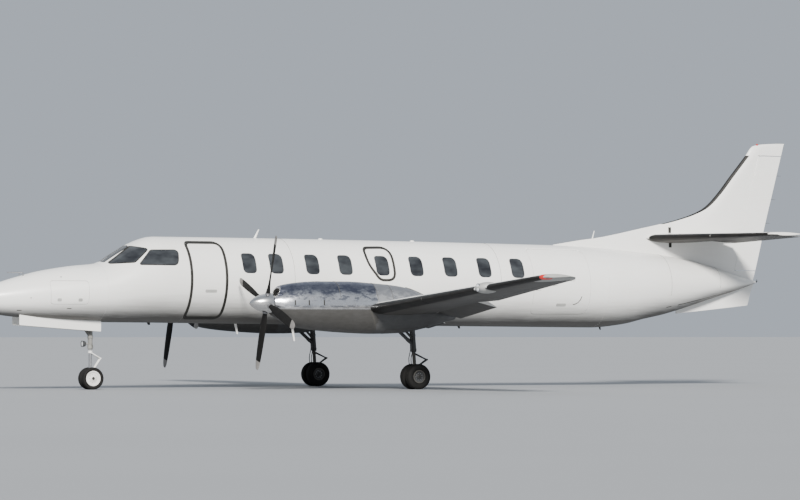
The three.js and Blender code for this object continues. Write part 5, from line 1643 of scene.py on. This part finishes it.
for side, word in SIDES:
    def leg_at(station, height, off=0.0, side=side):
        return spot(station, side * NACELLE_SPAN + off, height)

    top, middle, axle = leg_at(8.165, 1.29), leg_at(8.208, 0.77), leg_at(*MAIN_AXLE)
    leg, bright, pipes = Shape(), Shape(), Shape()
    leg.rod(top, middle, 0.054, sides=40)
    leg.rod(middle.lerp(top, 0.02), middle.lerp(top, -0.1), 0.062, 0.05, 40)
    leg.rod(middle.lerp(top, 0.5), middle.lerp(top, 0.56), 0.06, sides=40)
    bright.rod(middle.lerp(top, -0.05), axle.lerp(middle, 0.16), 0.034, sides=40)
    leg.rod(axle.lerp(middle, 0.42), axle.lerp(middle, 0.06), 0.042, 0.046, 40)
    leg.rod(leg_at(*MAIN_AXLE, -0.03), leg_at(*MAIN_AXLE, 0.03), 0.035, sides=40)
    leg.rod(leg_at(7.79, 1.215), leg_at(*BRACE_FOOT), 0.034)
    leg.rod(leg_at(8.07, 0.97), leg_at(8.12, 0.926), 0.038)
    leg.rod(leg_at(7.97, 1.2), leg_at(8.18, 0.98), 0.024)
    leg.rod(leg_at(*BRACE_FOOT, -0.05), leg_at(*BRACE_FOOT, 0.05), 0.024)
    for start, end, wide in (((8.213, 0.70), LINK_KNEE, 0.03), (LINK_KNEE, (8.24, 0.41), 0.028)):
        for off in (-wide, wide):
            leg.rod(leg_at(*start, off), leg_at(*end, off * 0.45), 0.0145, 0.012, 16)
        leg.rod(leg_at(*start, -wide - 0.012), leg_at(*start, wide + 0.012), 0.014, sides=20)
    leg.rod(leg_at(*LINK_KNEE, -0.024), leg_at(*LINK_KNEE, 0.024), 0.019, sides=20)
    for off in (-0.034, 0.034):
        route = [
            leg_at(8.15, 1.14, off), leg_at(8.16, 0.95, off * 1.6), leg_at(8.165, 0.76, off * 1.5),
            leg_at(8.13, 0.60, off * 1.4), leg_at(8.15, 0.42, off * 1.3), leg_at(8.205, 0.30, off),
        ]
        pipes.tube(smooth_path(route, 6), 0.008, 10)
    make(f"main_leg_casing_{word}", leg, GEAR_DARK, "airframe", [f"main_leg_{word}"])
    # The piston is chromed steel, drawn in dark paint as painted shade.
    make(f"main_leg_piston_{word}", bright, SEAM_DARK, "airframe")
    make(f"brake_pipes_{word}", pipes, BOOT_RUBBER, "airframe")
print("main gear: two legs with their pipes")

# %% Nose gear
STEERING_STATION = 2.398
NOSE_KNEE = (2.605, 0.6)
TAXI_LAMP = (2.3, 0.88)


def nose_at(station, height, off=0.0):
    return spot(station, off, height)


leg = Shape()
leg.rod(nose_at(STEERING_STATION, 0.77), nose_at(STEERING_STATION, 1.599), 0.046, sides=40)
leg.rod(nose_at(STEERING_STATION, 0.79), nose_at(STEERING_STATION, 0.86), 0.056, sides=40)
leg.rod(nose_at(STEERING_STATION, 0.985), nose_at(STEERING_STATION, 1.035), 0.054, sides=40)
for off in (-0.07, 0.07):
    leg.rod(nose_at(1.99, 1.578, off), nose_at(STEERING_STATION, 1.01, off * 0.5), 0.014, sides=20)
leg.rod(nose_at(STEERING_STATION, 1.01, -0.055), nose_at(STEERING_STATION, 1.01, 0.055), 0.018)
leg.rod(nose_at(2.29, 0.88), nose_at(STEERING_STATION, 0.88), 0.014)
make("nose_leg_casing", leg, GEAR_LIGHT, "airframe", ["nose_leg"])
bowl = [(0.0, 0.0), (0.044, 0.0), (0.056, 0.03), (0.062, 0.075), (0.058, 0.075), (0.05, 0.03), (0.0, 0.012)]
taxi_lamp = Shape().lathe(bowl, nose_at(*TAXI_LAMP), FORE, 40)
make("taxi_lamp_bowl", taxi_lamp, GEAR_DARK, "airframe")
taxi_glass = Shape().lathe(
    [(0.0, 0.07), (0.04, 0.068), (0.057, 0.06), (0.057, 0.052), (0.0, 0.052)], nose_at(*TAXI_LAMP), FORE, 40,
)
make("taxi_lamp_glass", taxi_glass, LAMP_CLEAR, "airframe")

fork, bright = Shape(), Shape()
bright.rod(nose_at(STEERING_STATION, 0.20), nose_at(STEERING_STATION, 0.978), 0.0298, sides=40)
fork.rod(nose_at(STEERING_STATION, 0.702), nose_at(STEERING_STATION, 0.75), 0.042, sides=40)
fork.rod(nose_at(STEERING_STATION, 0.33), nose_at(STEERING_STATION, 0.24), 0.035, 0.037, 40)
fork.rod(nose_at(*NOSE_AXLE, -0.03), nose_at(*NOSE_AXLE, 0.03), 0.033, sides=40)
for start, end in (((STEERING_STATION, 0.715), NOSE_KNEE), (NOSE_KNEE, (2.42, 0.33))):
    for off in (-0.026, 0.026):
        fork.rod(nose_at(*start, off), nose_at(*end, off * 0.6), 0.014, 0.012, 16)
    fork.rod(nose_at(*start, -0.034), nose_at(*start, 0.034), 0.014, sides=20)
fork.rod(nose_at(*NOSE_KNEE, -0.02), nose_at(*NOSE_KNEE, 0.02), 0.018, sides=20)
make("nose_fork_links", fork, HUB_WHITE, "nose_fork", ["nose_piston"])
make("nose_piston_tube", bright, STEEL, "nose_fork")
door_corners = [(0.878, 1.48, 0.01), (2.541, 1.38, 0.01), (2.541, 1.117, 0.02), (0.878, 1.24, 0.02)]
for side, word in SIDES:
    outline = [spot(station, side * 0.1862, height) for station, height in rounded(door_corners)]
    panel = loose(f"nose_door_skin_{word}", Shape().plate(outline, Vector((0, side * 0.0135, 0))))
    cut(panel, hull_part(0.6, 2.9, 0.08))
    settle(panel, BODY_WHITE, "airframe", [f"nose_gear_door_{word}"])
print("nose gear: leg, steering fork, lamp and two doors")

# %% Pieces that keep their own form
for node, finish in (
    ("cabin_floor", CARPET), ("engine_left", ENGINE_STEEL), ("engine_right", ENGINE_STEEL),
    ("ventral_fin", SURFACE_WHITE),
):
    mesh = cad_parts[node].data
    mesh.materials.clear()
    mesh.materials.append(finish)
print("kept: the floor, both engines and the ventral fin")

# %% [markdown]
# Sheet metal is joined along seams, and rivets, bolts, louvres and wicks are the same small thing many times over.
# One Geometry Nodes tree sets a small solid on every point of a mesh. Each point keeps the way that it faces and the
# way that it runs, so a rivet sits square on a curved skin. The sizes vary a little, from a fixed seed.

# %% Seams and repeats
def skin_frame(hull, station, angle):
    """A place on a hull, the way out of it and the way aft along it."""
    place = hull.at(station, angle)
    facing = (hull.at(station, angle, 0.01) - place).normalized()
    along = (hull.raw(station + 0.01, angle) - place).normalized()
    return place, facing, along


def seam(shape, hull, path, half_width, proud, closed=False):
    """A flat line on a hull along pairs of station and angle."""
    places = [skin_frame(hull, station, angle)[:2] for station, angle in path]
    loops = []
    for index, (place, facing) in enumerate(places):
        before = places[index - 1][0] if index or closed else place
        after = places[(index + 1) % len(places)][0] if index + 1 < len(places) or closed else place
        across = facing.cross(after - before).normalized() * half_width
        loops.append([
            place - across - facing * 0.002, place - across + facing * proud, place + across + facing * proud,
            place + across - facing * 0.002,
        ])
    return shape.loft(loops, ring=closed)


def hoop(station, count=96, start=0.0, end=2 * math.pi):
    return [(station, start + (end - start) * step / count) for step in range(count)]


def stringer(angle, start, end, pitch):
    return [(station, angle) for station in steps_between(start, end, pitch)]


def repeat_tree():
    tree = bpy.data.node_groups.new("repeat_on_points", "GeometryNodeTree")
    sockets = {}
    for label, kind in (
        ("Points", "NodeSocketGeometry"), ("Solid", "NodeSocketObject"), ("Scatter", "NodeSocketFloat"),
        ("Seed", "NodeSocketInt"), ("Finish", "NodeSocketMaterial"),
    ):
        sockets[label] = tree.interface.new_socket(label, in_out="INPUT", socket_type=kind).identifier
    tree.interface.new_socket("Pieces", in_out="OUTPUT", socket_type="NodeSocketGeometry")

    def node(kind, settings=(), inputs=()):
        made = tree.nodes.new(kind)
        for setting, value in dict(settings).items():
            setattr(made, setting, value)
        for key, value in dict(inputs).items():
            if isinstance(value, bpy.types.NodeSocket):
                tree.links.new(value, made.inputs[key])
            else:
                made.inputs[key].default_value = value
        return made

    given = node("NodeGroupInput").outputs
    kept = {
        name: node("GeometryNodeInputNamedAttribute", {"data_type": "FLOAT_VECTOR"}, {"Name": name}).outputs[0]
        for name in ("facing", "along")
    }
    upright = node("FunctionNodeAlignRotationToVector", {"axis": "Z"}, {"Vector": kept["facing"]}).outputs[0]
    turned_to = node(
        "FunctionNodeAlignRotationToVector", {"axis": "X", "pivot_axis": "Z"},
        {"Rotation": upright, "Vector": kept["along"]},
    ).outputs[0]
    least = node("ShaderNodeMath", {"operation": "SUBTRACT"}, {0: 1.0, 1: given["Scatter"]}).outputs[0]
    most = node("ShaderNodeMath", {"operation": "ADD"}, {0: 1.0, 1: given["Scatter"]}).outputs[0]
    size = node("FunctionNodeRandomValue", {"data_type": "FLOAT"})
    for key, value in ((2, least), (3, most), (8, given["Seed"])):
        tree.links.new(value, size.inputs[key])
    solid = node("GeometryNodeObjectInfo", {}, {"Object": given["Solid"]}).outputs["Geometry"]
    placed = node("GeometryNodeInstanceOnPoints", {}, {
        "Points": given["Points"], "Instance": solid, "Rotation": turned_to, "Scale": size.outputs[1],
    }).outputs[0]
    real = node("GeometryNodeRealizeInstances", {}, {"Geometry": placed}).outputs[0]
    done = node("GeometryNodeSetMaterial", {}, {"Geometry": real, "Material": given["Finish"]}).outputs[0]
    tree.links.new(done, node("NodeGroupOutput").inputs[0])
    return tree, sockets


REPEAT, REPEAT_SOCKETS = repeat_tree()
REPEAT_SEED = 11


def repeated(name, rows, solid, finish, body, scatter=0.0, crease=32):
    """solid on every row of place, facing and along, as one plain mesh."""
    mesh = bpy.data.meshes.new(name)
    mesh.from_pydata([tuple(row[0]) for row in rows], [], [])
    for index, label in ((1, "facing"), (2, "along")):
        kept = mesh.attributes.new(label, "FLOAT_VECTOR", "POINT")
        kept.data.foreach_set("vector", [value for row in rows for value in row[index]])
    thing = bpy.data.objects.new(name, mesh)
    bpy.context.scene.collection.objects.link(thing)
    pattern = loose("pattern", solid)
    modifier = thing.modifiers.new("repeat", "NODES")
    modifier.node_group = REPEAT
    for label, value in (("Solid", pattern), ("Scatter", scatter), ("Seed", REPEAT_SEED), ("Finish", finish)):
        modifier[REPEAT_SOCKETS[label]] = value
    bpy.context.view_layer.update()
    grown = bpy.data.meshes.new_from_object(thing.evaluated_get(bpy.context.evaluated_depsgraph_get()))
    thing.modifiers.remove(modifier)
    thing.data = grown
    bpy.data.objects.remove(pattern)
    settle(thing, finish, body, crease=crease)
    print(name, len(rows), "pieces,", len(grown.polygons), "faces")
    return thing


def stud(radius, height, sides=6):
    return Shape().lathe(
        [(0.0, -0.001), (radius, -0.001), (radius * 0.7, height), (0.0, height)], (0, 0, 0), UP, sides,
    )


print("seams and repeats ready")

# %% [markdown]
# The skins of the fuselage lap at the frames and along the stringers, and each lap has its row of rivets. A row stops
# at a door or a window, so a rivet whose place falls near one of them is left out.

# %% Fuselage seams and rivets
RIVET = stud(0.0036, 0.0006)
SEAM_HALF = 0.0022
SEAM_PROUD = 0.0004
RIVET_OFFSET, RIVET_PITCH = 0.018, 0.055
DOOR_RIVETS_OUT = 0.05
LAP_STATIONS = (6.35, 10.9, 14.97, 16.3)
FRAME_STATIONS = (
    RADOME_END, FRONT_BULKHEAD, COCKPIT_END, 6.35, CABIN_JOINT, 10.9, REAR_BULKHEAD, 14.97, 16.3,
)
STRINGER_DEGREES = (72, 18, -8, -52)
KEEP_CLEAR = [
    (4.1, 5.0, 1.3, 2.95, 1), (11.58, 13.02, 1.4, 2.88, 1), (5.2, 11.5, 2.12, 2.72, 0),
    (7.85, 8.65, 2.0, 2.9, 0),
    (2.5, 4.05, 2.3, 2.95, 0), (1.3, 2.2, 1.55, 2.15, 0), (0.9, 2.5, 1.0, 1.45, 0), (5.9, 10.6, 1.0, 1.75, 0),
]


def on_free_skin(place):
    station = NOSE_X - place.x
    for start, end, low, high, side in KEEP_CLEAR:
        if start < station < end and low < place.z < high and side * place.y >= 0:
            return False
    return True


rivets, skin_seams = [], Shape()
for station in FRAME_STATIONS:
    around = 2 * math.pi * FUSELAGE.half(station)
    for shift in (-RIVET_OFFSET, RIVET_OFFSET):
        ring = hoop(station, round(around / RIVET_PITCH))
        rivets += [skin_frame(FUSELAGE, station + shift, angle) for _, angle in ring]
for station in LAP_STATIONS:
    lap = hoop(station, 70, math.radians(-20), math.radians(200))
    seam(skin_seams, FUSELAGE, lap, SEAM_HALF, SEAM_PROUD)
for degrees in STRINGER_DEGREES:
    for angle in (math.radians(degrees), math.radians(180 - degrees)):
        rivets += [skin_frame(FUSELAGE, *where) for where in stringer(angle, 2.6, 15.9, 0.06)]
door_rivets = [
    skin_frame(FUSELAGE, station, FUSELAGE.angle_at(station, height, 1))
    for outline in (passenger_outline, cargo_outline)
    for station, height in widened(outline, DOOR_RIVETS_OUT)[::2]
]
kept_rivets = [row for row in rivets if on_free_skin(row[0])] + door_rivets
repeated("fuselage_rivets", kept_rivets, RIVET, BODY_WHITE, "airframe", 0.08)
make("fuselage_seams", skin_seams, SEAM_DARK, "airframe")
hatch_lines = Shape()
curve = [(12.76, 1.832), (12.735, 1.765), (12.69, 1.705), (12.63, 1.675), (12.582, 1.666)]
cargo_curve = seam(Shape(), FUSELAGE, [(a, FUSELAGE.angle_at(a, b, 1)) for a, b in curve], 0.009, 0.0012)
make("cargo_door_curve", cargo_curve, SEAM_DARK, "cargo_hatch")
for side in (1, -1):
    for start, end, height in ((1.728, 1.815, 1.555), (0.79, 0.88, 1.52)):
        path = [(start, FUSELAGE.angle_at(start, height, side)), (end, FUSELAGE.angle_at(end, height, side))]
        seam(hatch_lines, FUSELAGE, path, 0.008, 0.0015)
make("nose_marks", hatch_lines, SEAM_DARK, "airframe")

# %% [markdown]
# The cowlings open along a level seam, held by small flush fasteners. Below it the metal is dull with soot, and
# painted nearly black as a reflection of the ground. Three short louvres on each side let warm air out. Aft of the
# wheel bay two long doors close under the nacelle, and a dark tube runs along the skin on each side over the exhaust.

# %% Cowling seams, fasteners and louvres
FASTENER = stud(0.009, 0.0012, 10)
LOUVRES = ((5.546, 1.62, 1.715), (5.82, 1.62, 1.715), (6.125, 1.62, 1.715))
BAY_DOOR = (7.5, 8.42)
COWL_SEAM = (0.004, 0.0008)
PIPE_EDGE = Line([8.03, 8.22, 8.36, 8.52], [89, 86, 82, 78])
for side, word in SIDES:
    hull = nacelle_hulls[side]
    cowl_seams, fasteners, louvres = Shape(), [], []
    for flank in (1, -1):
        level = [(a, hull.angle_at(a, COWL_SPLIT, flank)) for a in steps_between(5.46, 7.26, 0.06)]
        seam(cowl_seams, hull, level, *COWL_SEAM)
        raked = [(7.09 + 0.22 * step / 8, 1.525 - 0.42 * step / 8) for step in range(9)]
        seam(cowl_seams, hull, [(a, hull.angle_at(a, b, flank)) for a, b in raked], 0.005, 0.0008)
        for shift in (-0.035, 0.035):
            for a in steps_between(5.55, 7.2, 0.11):
                fasteners.append(skin_frame(hull, a, hull.angle_at(a, COWL_SPLIT + shift, flank)))
        for station, low, high in LOUVRES:
            louvres.append(skin_frame(hull, station, hull.angle_at(station, (low + high) / 2, flank)))
    for station in (6.48, 7.27, 7.6):
        seam(cowl_seams, hull, hoop(station, 60, math.radians(20), math.radians(160)), *COWL_SEAM)
        over_top = hoop(station, 16, math.radians(24), math.radians(166))
        fasteners += [skin_frame(hull, station + 0.03, angle) for _, angle in over_top]
    for angle in (math.radians(degrees) for degrees in (-90, -125, -55)):
        seam(cowl_seams, hull, [(a, angle) for a in steps_between(*BAY_DOOR, 0.08)], *COWL_SEAM)
    for station in BAY_DOOR:
        seam(cowl_seams, hull, hoop(station, 20, math.radians(-125), math.radians(-52)), *COWL_SEAM)
    # A dark tube runs along the skin on each side over the exhaust.
    pipe_dark_tubes = Shape()
    for flank in (1, -1):
        path = [
            (a, math.radians(PIPE_EDGE(a) if flank > 0 else 180 - PIPE_EDGE(a)))
            for a in steps_between(8.03, 8.52, 0.012)
        ]
        pipe_dark_tubes.tube([hull.at(a, angle, 0.003) for a, angle in path], 0.015, 12)
    make(f"exhaust_lips_{word}", pipe_dark_tubes, TRIM_SEAL, "airframe")
    make(f"cowling_seams_{word}", cowl_seams, SEAM_DARK, "airframe")
    repeated(f"cowling_fasteners_{word}", fasteners, FASTENER, STEEL, "airframe", 0.05)
    slot_shape = Shape().box((-0.013, -0.05, -0.002), (0.013, 0.05, 0.004))
    repeated(f"cowling_louvres_{word}", louvres, slot_shape, TRIM_SEAL, "airframe")

# %% [markdown]
# Aerials, probes and lamps stand on the skin. Radio aerials are swept blades and low domes, the two tubes on the
# nose feel the air speed, and a red beacon turns on top of the fin. Each foot is sunk into the skin.

# %% Aerials, probes and lamps
def fin_blade(shape, foot, tip, root_chord, tip_chord, thick):
    """A small swept blade from a foot to a tip."""
    loops = []
    for step in range(7):
        share = step / 6
        centre = Vector(foot).lerp(Vector(tip), share)
        chord = root_chord + (tip_chord - root_chord) * share
        width = thick * (1 - 0.5 * share)
        loops.append([
            centre + Vector((chord / 2 * math.cos(turn), width / 2 * math.sin(turn), 0))
            for turn in full_turn(16)
        ])
    return shape.loft(loops)


BEACON = spot(17.42, 0, 4.96)

aerials, dark_aerials, metal_parts = Shape(), Shape(), Shape()
fin_blade(aerials, spot(5.85, 0, 2.935), spot(5.945, 0, 3.123), 0.055, 0.022, 0.016)
fin_blade(aerials, spot(13.4, 0, 2.84), spot(13.5, 0, 3.19), 0.045, 0.016, 0.014)
fin_blade(aerials, spot(5.44, 0, 1.29), spot(5.49, 0, 1.07), 0.06, 0.03, 0.016)
fin_blade(aerials, spot(6.66, 0, 1.26), spot(6.72, 0, 0.93), 0.06, 0.03, 0.016)
fin_blade(dark_aerials, spot(3.6, 0, 1.295), spot(3.62, 0, 1.245), 0.07, 0.05, 0.016)
fin_blade(dark_aerials, spot(10.36, 0, 1.235), spot(10.38, 0, 1.18), 0.06, 0.04, 0.016)
fin_blade(dark_aerials, spot(13.62, 0, 1.225), spot(13.64, 0, 1.155), 0.05, 0.03, 0.014)
for station in (7.28, 9.31):
    dome = [(0.0, 0.026), (0.026, 0.023), (0.044, 0.013), (0.05, -0.006), (0.0, -0.006)]
    aerials.lathe(dome, FUSELAGE.raw(station, math.pi / 2), UP, 24)
for side in (1, -1):
    root = FUSELAGE.raw(0.99, math.radians(90 - side * 14), -0.01)
    head = root + Vector((0.012, 0, 0.075))
    bend, mouth_end = head + Vector((0.03, 0, 0.006)), head + Vector((0.24, 0, 0.004))
    metal_parts.tube([root, root.lerp(head, 0.6), head, bend, mouth_end], 0.0095, 14)
    angle = FUSELAGE.angle_at(0.95, 1.752, side)
    start = FUSELAGE.at(1.02, angle, -0.01)
    away = FUSELAGE.at(1.02, angle, 0.035)
    dark_aerials.tube([start, away, away + Vector((0.095, 0, 0.0))], 0.009, 12)
    low = FUSELAGE.at(1.026, FUSELAGE.angle_at(1.026, 1.657, side), 0.012)
    dark_aerials.tube([start.lerp(away, 0.6), low], 0.008, 12)
    knob = FUSELAGE.angle_at(1.631, 2.155, side)
    dark_aerials.rod(FUSELAGE.at(1.631, knob, -0.004), FUSELAGE.at(1.631, knob, 0.008), 0.012, 0.009, 14)
make("white_aerials", aerials, SURFACE_WHITE, "airframe")
make("dark_aerials", dark_aerials, TRIM_SEAL, "airframe")
make("pitot_tubes", metal_parts, STEEL, "airframe")
beacon_glass = [(0.0, 0.108), (0.014, 0.104), (0.024, 0.09), (0.032, 0.05), (0.036, 0.02), (0.0, 0.02)]
make("beacon_lens", Shape().lathe(beacon_glass, BEACON, UP, 32), LAMP_RED, "airframe")
beacon_ring = [(0.0, -0.02), (0.04, -0.02), (0.042, 0.022), (0.0, 0.022)]
make("beacon_base", Shape().lathe(beacon_ring, BEACON, UP, 32), STEEL, "airframe")
tail_lamp = [(0.0, 0.05), (0.012, 0.046), (0.02, 0.03), (0.023, 0.0), (0.0, -0.02)]
stinger = Shape().rod(spot(17.32, 0, 2.15), spot(17.44, 0, 2.185), 0.009, 0.006, 10)
stinger.rod(spot(17.405, 0, 2.145), spot(17.41, 0, 2.215), 0.006, 0.006, 10)
make("tail_stinger", stinger, TRIM_SEAL, "airframe")
tail_lens = Shape().lathe(tail_lamp, spot(17.335, 0.0, 2.158), AFT, 24)
make("tail_lamp", tail_lens, LAMP_CLEAR, "airframe")

bars, strakes, strake_lines = Shape(), Shape(), Shape()
for side, word in SIDES:
    for low, high in ((3.165, 3.285), (2.865, 2.995)):
        flank = side * fin_side((low + high) / 2, 15.24)
        bars.box(
            (NOSE_X - 15.295, min(flank, flank + side * 0.008) - 0.003, low),
            (NOSE_X - 15.235, max(flank, flank + side * 0.008) + 0.003, high),
        )
    strake = [(14.95, 1.62), (15.4, 1.70), (15.9, 1.80), (16.4, 1.905), (16.704, 1.968)]
    path = [(a, FUSELAGE.angle_at(a, b, side)) for a, b in strake]
    for shift in (-0.045, 0.03):
        seam(strakes, FUSELAGE, [(a, b + shift * side) for a, b in path], 0.005, 0.03)
    # A dark line along each strake is a painted shadow.
    seam(strake_lines, FUSELAGE, path, 0.014, 0.0015)
make("fin_bars", bars, TRIM_SEAL, "airframe")
make("tail_strakes", strakes, LIGHT_GREY, "airframe")
make("strake_lines", strake_lines, SEAM_DARK, "airframe")
print("aerials, probes, beacon, tail lamp, bars and strakes")

# %% [markdown]
# A wheel is two forgings held together by a ring of bolts. Static wicks are thin carbon rods on the trailing edges
# that let the charge of the airframe leak away, and they ride on the surface that carries them.

# %% Bolts, wicks, steps and handles
BOLT = stud(0.0085, 0.009, 6)
BOLT_COUNT = 9
for tyre, span, body, word in (
    (MAIN_TYRE, NACELLE_SPAN, "wheel_pair_left", "main_left"),
    (MAIN_TYRE, -NACELLE_SPAN, "wheel_pair_right", "main_right"),
    (NOSE_TYRE, 0.0, "nose_wheel_pair", "nose"),
):
    centre = spot(tyre["station"], span, tyre["radius"])
    rows = []
    for way in (1, -1):
        for turn in full_turn(BOLT_COUNT):
            arm = Vector((math.cos(turn), 0, math.sin(turn)))
            rise = way * (tyre["spacing"] / 2 + tyre["width"] * WHEEL_HALF * 0.53)
            rows.append((centre + arm * tyre["rim"] * 0.52 + Vector((0, rise, 0)), Vector((0, way, 0)), arm))
    repeated(f"{word}_wheel_bolts", rows, BOLT, STEEL, body)
    caps = Shape()
    for way in (1, -1):
        face = centre + Vector((0, way * (tyre["spacing"] / 2 + tyre["width"] * WHEEL_HALF * 1.1), 0))
        caps.rod(face, face + Vector((0, way * 0.006, 0)), tyre["rim"] * 0.21, tyre["rim"] * 0.19, 24)
    make(f"{word}_axle_caps", caps, TRIM_SEAL, body)

HANDLE_HALF, HANDLE_RADIUS = 0.028, 0.02
WICK = Shape().rod((0, 0, -0.01), (0, 0, 0.115), 0.0035, 0.002, 8)
for side, word in SIDES:
    rows = [(wing.hinge(span, 0.995, side), AFT, UP) for span in (6.4, 7.2, 8.0)]
    repeated(f"aileron_wicks_{word}", rows, WICK, TRIM_SEAL, f"aileron_panel_{word}")
rows = [(spot(fin_trail(height) - 0.004, 0, height), AFT, UP) for height in (3.4, 3.9, 4.4)]
repeated("rudder_wicks", rows, WICK, TRIM_SEAL, "rudder_panel")

treads = []
for height in (1.62, 1.86, 2.10, 2.34):
    wall = FUSELAGE.raw(4.535, FUSELAGE.angle_at(4.535, height, 1), -CABIN_WALL)
    treads.append((wall + Vector((0, 0.004, 0)), UP, FORE))
tread = Shape().box((-0.24, -0.075, -0.011), (0.24, 0.0, 0.011))
repeated("airstair_treads", treads, tread, LIGHT_GREY, "airstair")

for name, body, places in (
    ("airstair_handle", "airstair", ((4.46, 4.7, 1.9),)),
    ("cargo_handle", "cargo_hatch", ((12.2, 12.42, 1.66),)),
    ("nose_handle_left", "nose_hatch_left", ((1.52, 1.6, 1.72), (1.92, 2.0, 1.72))),
):
    grips = Shape()
    for start, end, height in places:
        low, high = height - HANDLE_HALF, height + HANDLE_HALF
        corners = ((start, low), (end, low), (end, high), (start, high))
        plate = rounded([(*corner, HANDLE_RADIUS) for corner in corners])
        patch(grips, FUSELAGE, plate, side_angle(1), 0.003, rings=2)
        path = [(a, FUSELAGE.angle_at(a, height, 1)) for a in steps_between(start + 0.015, end - 0.015, 0.03)]
        seam(grips, FUSELAGE, path, 0.009, 0.009)
    make(name, grips, LIGHT_GREY, body)
print("bolts, wicks, treads and handles")
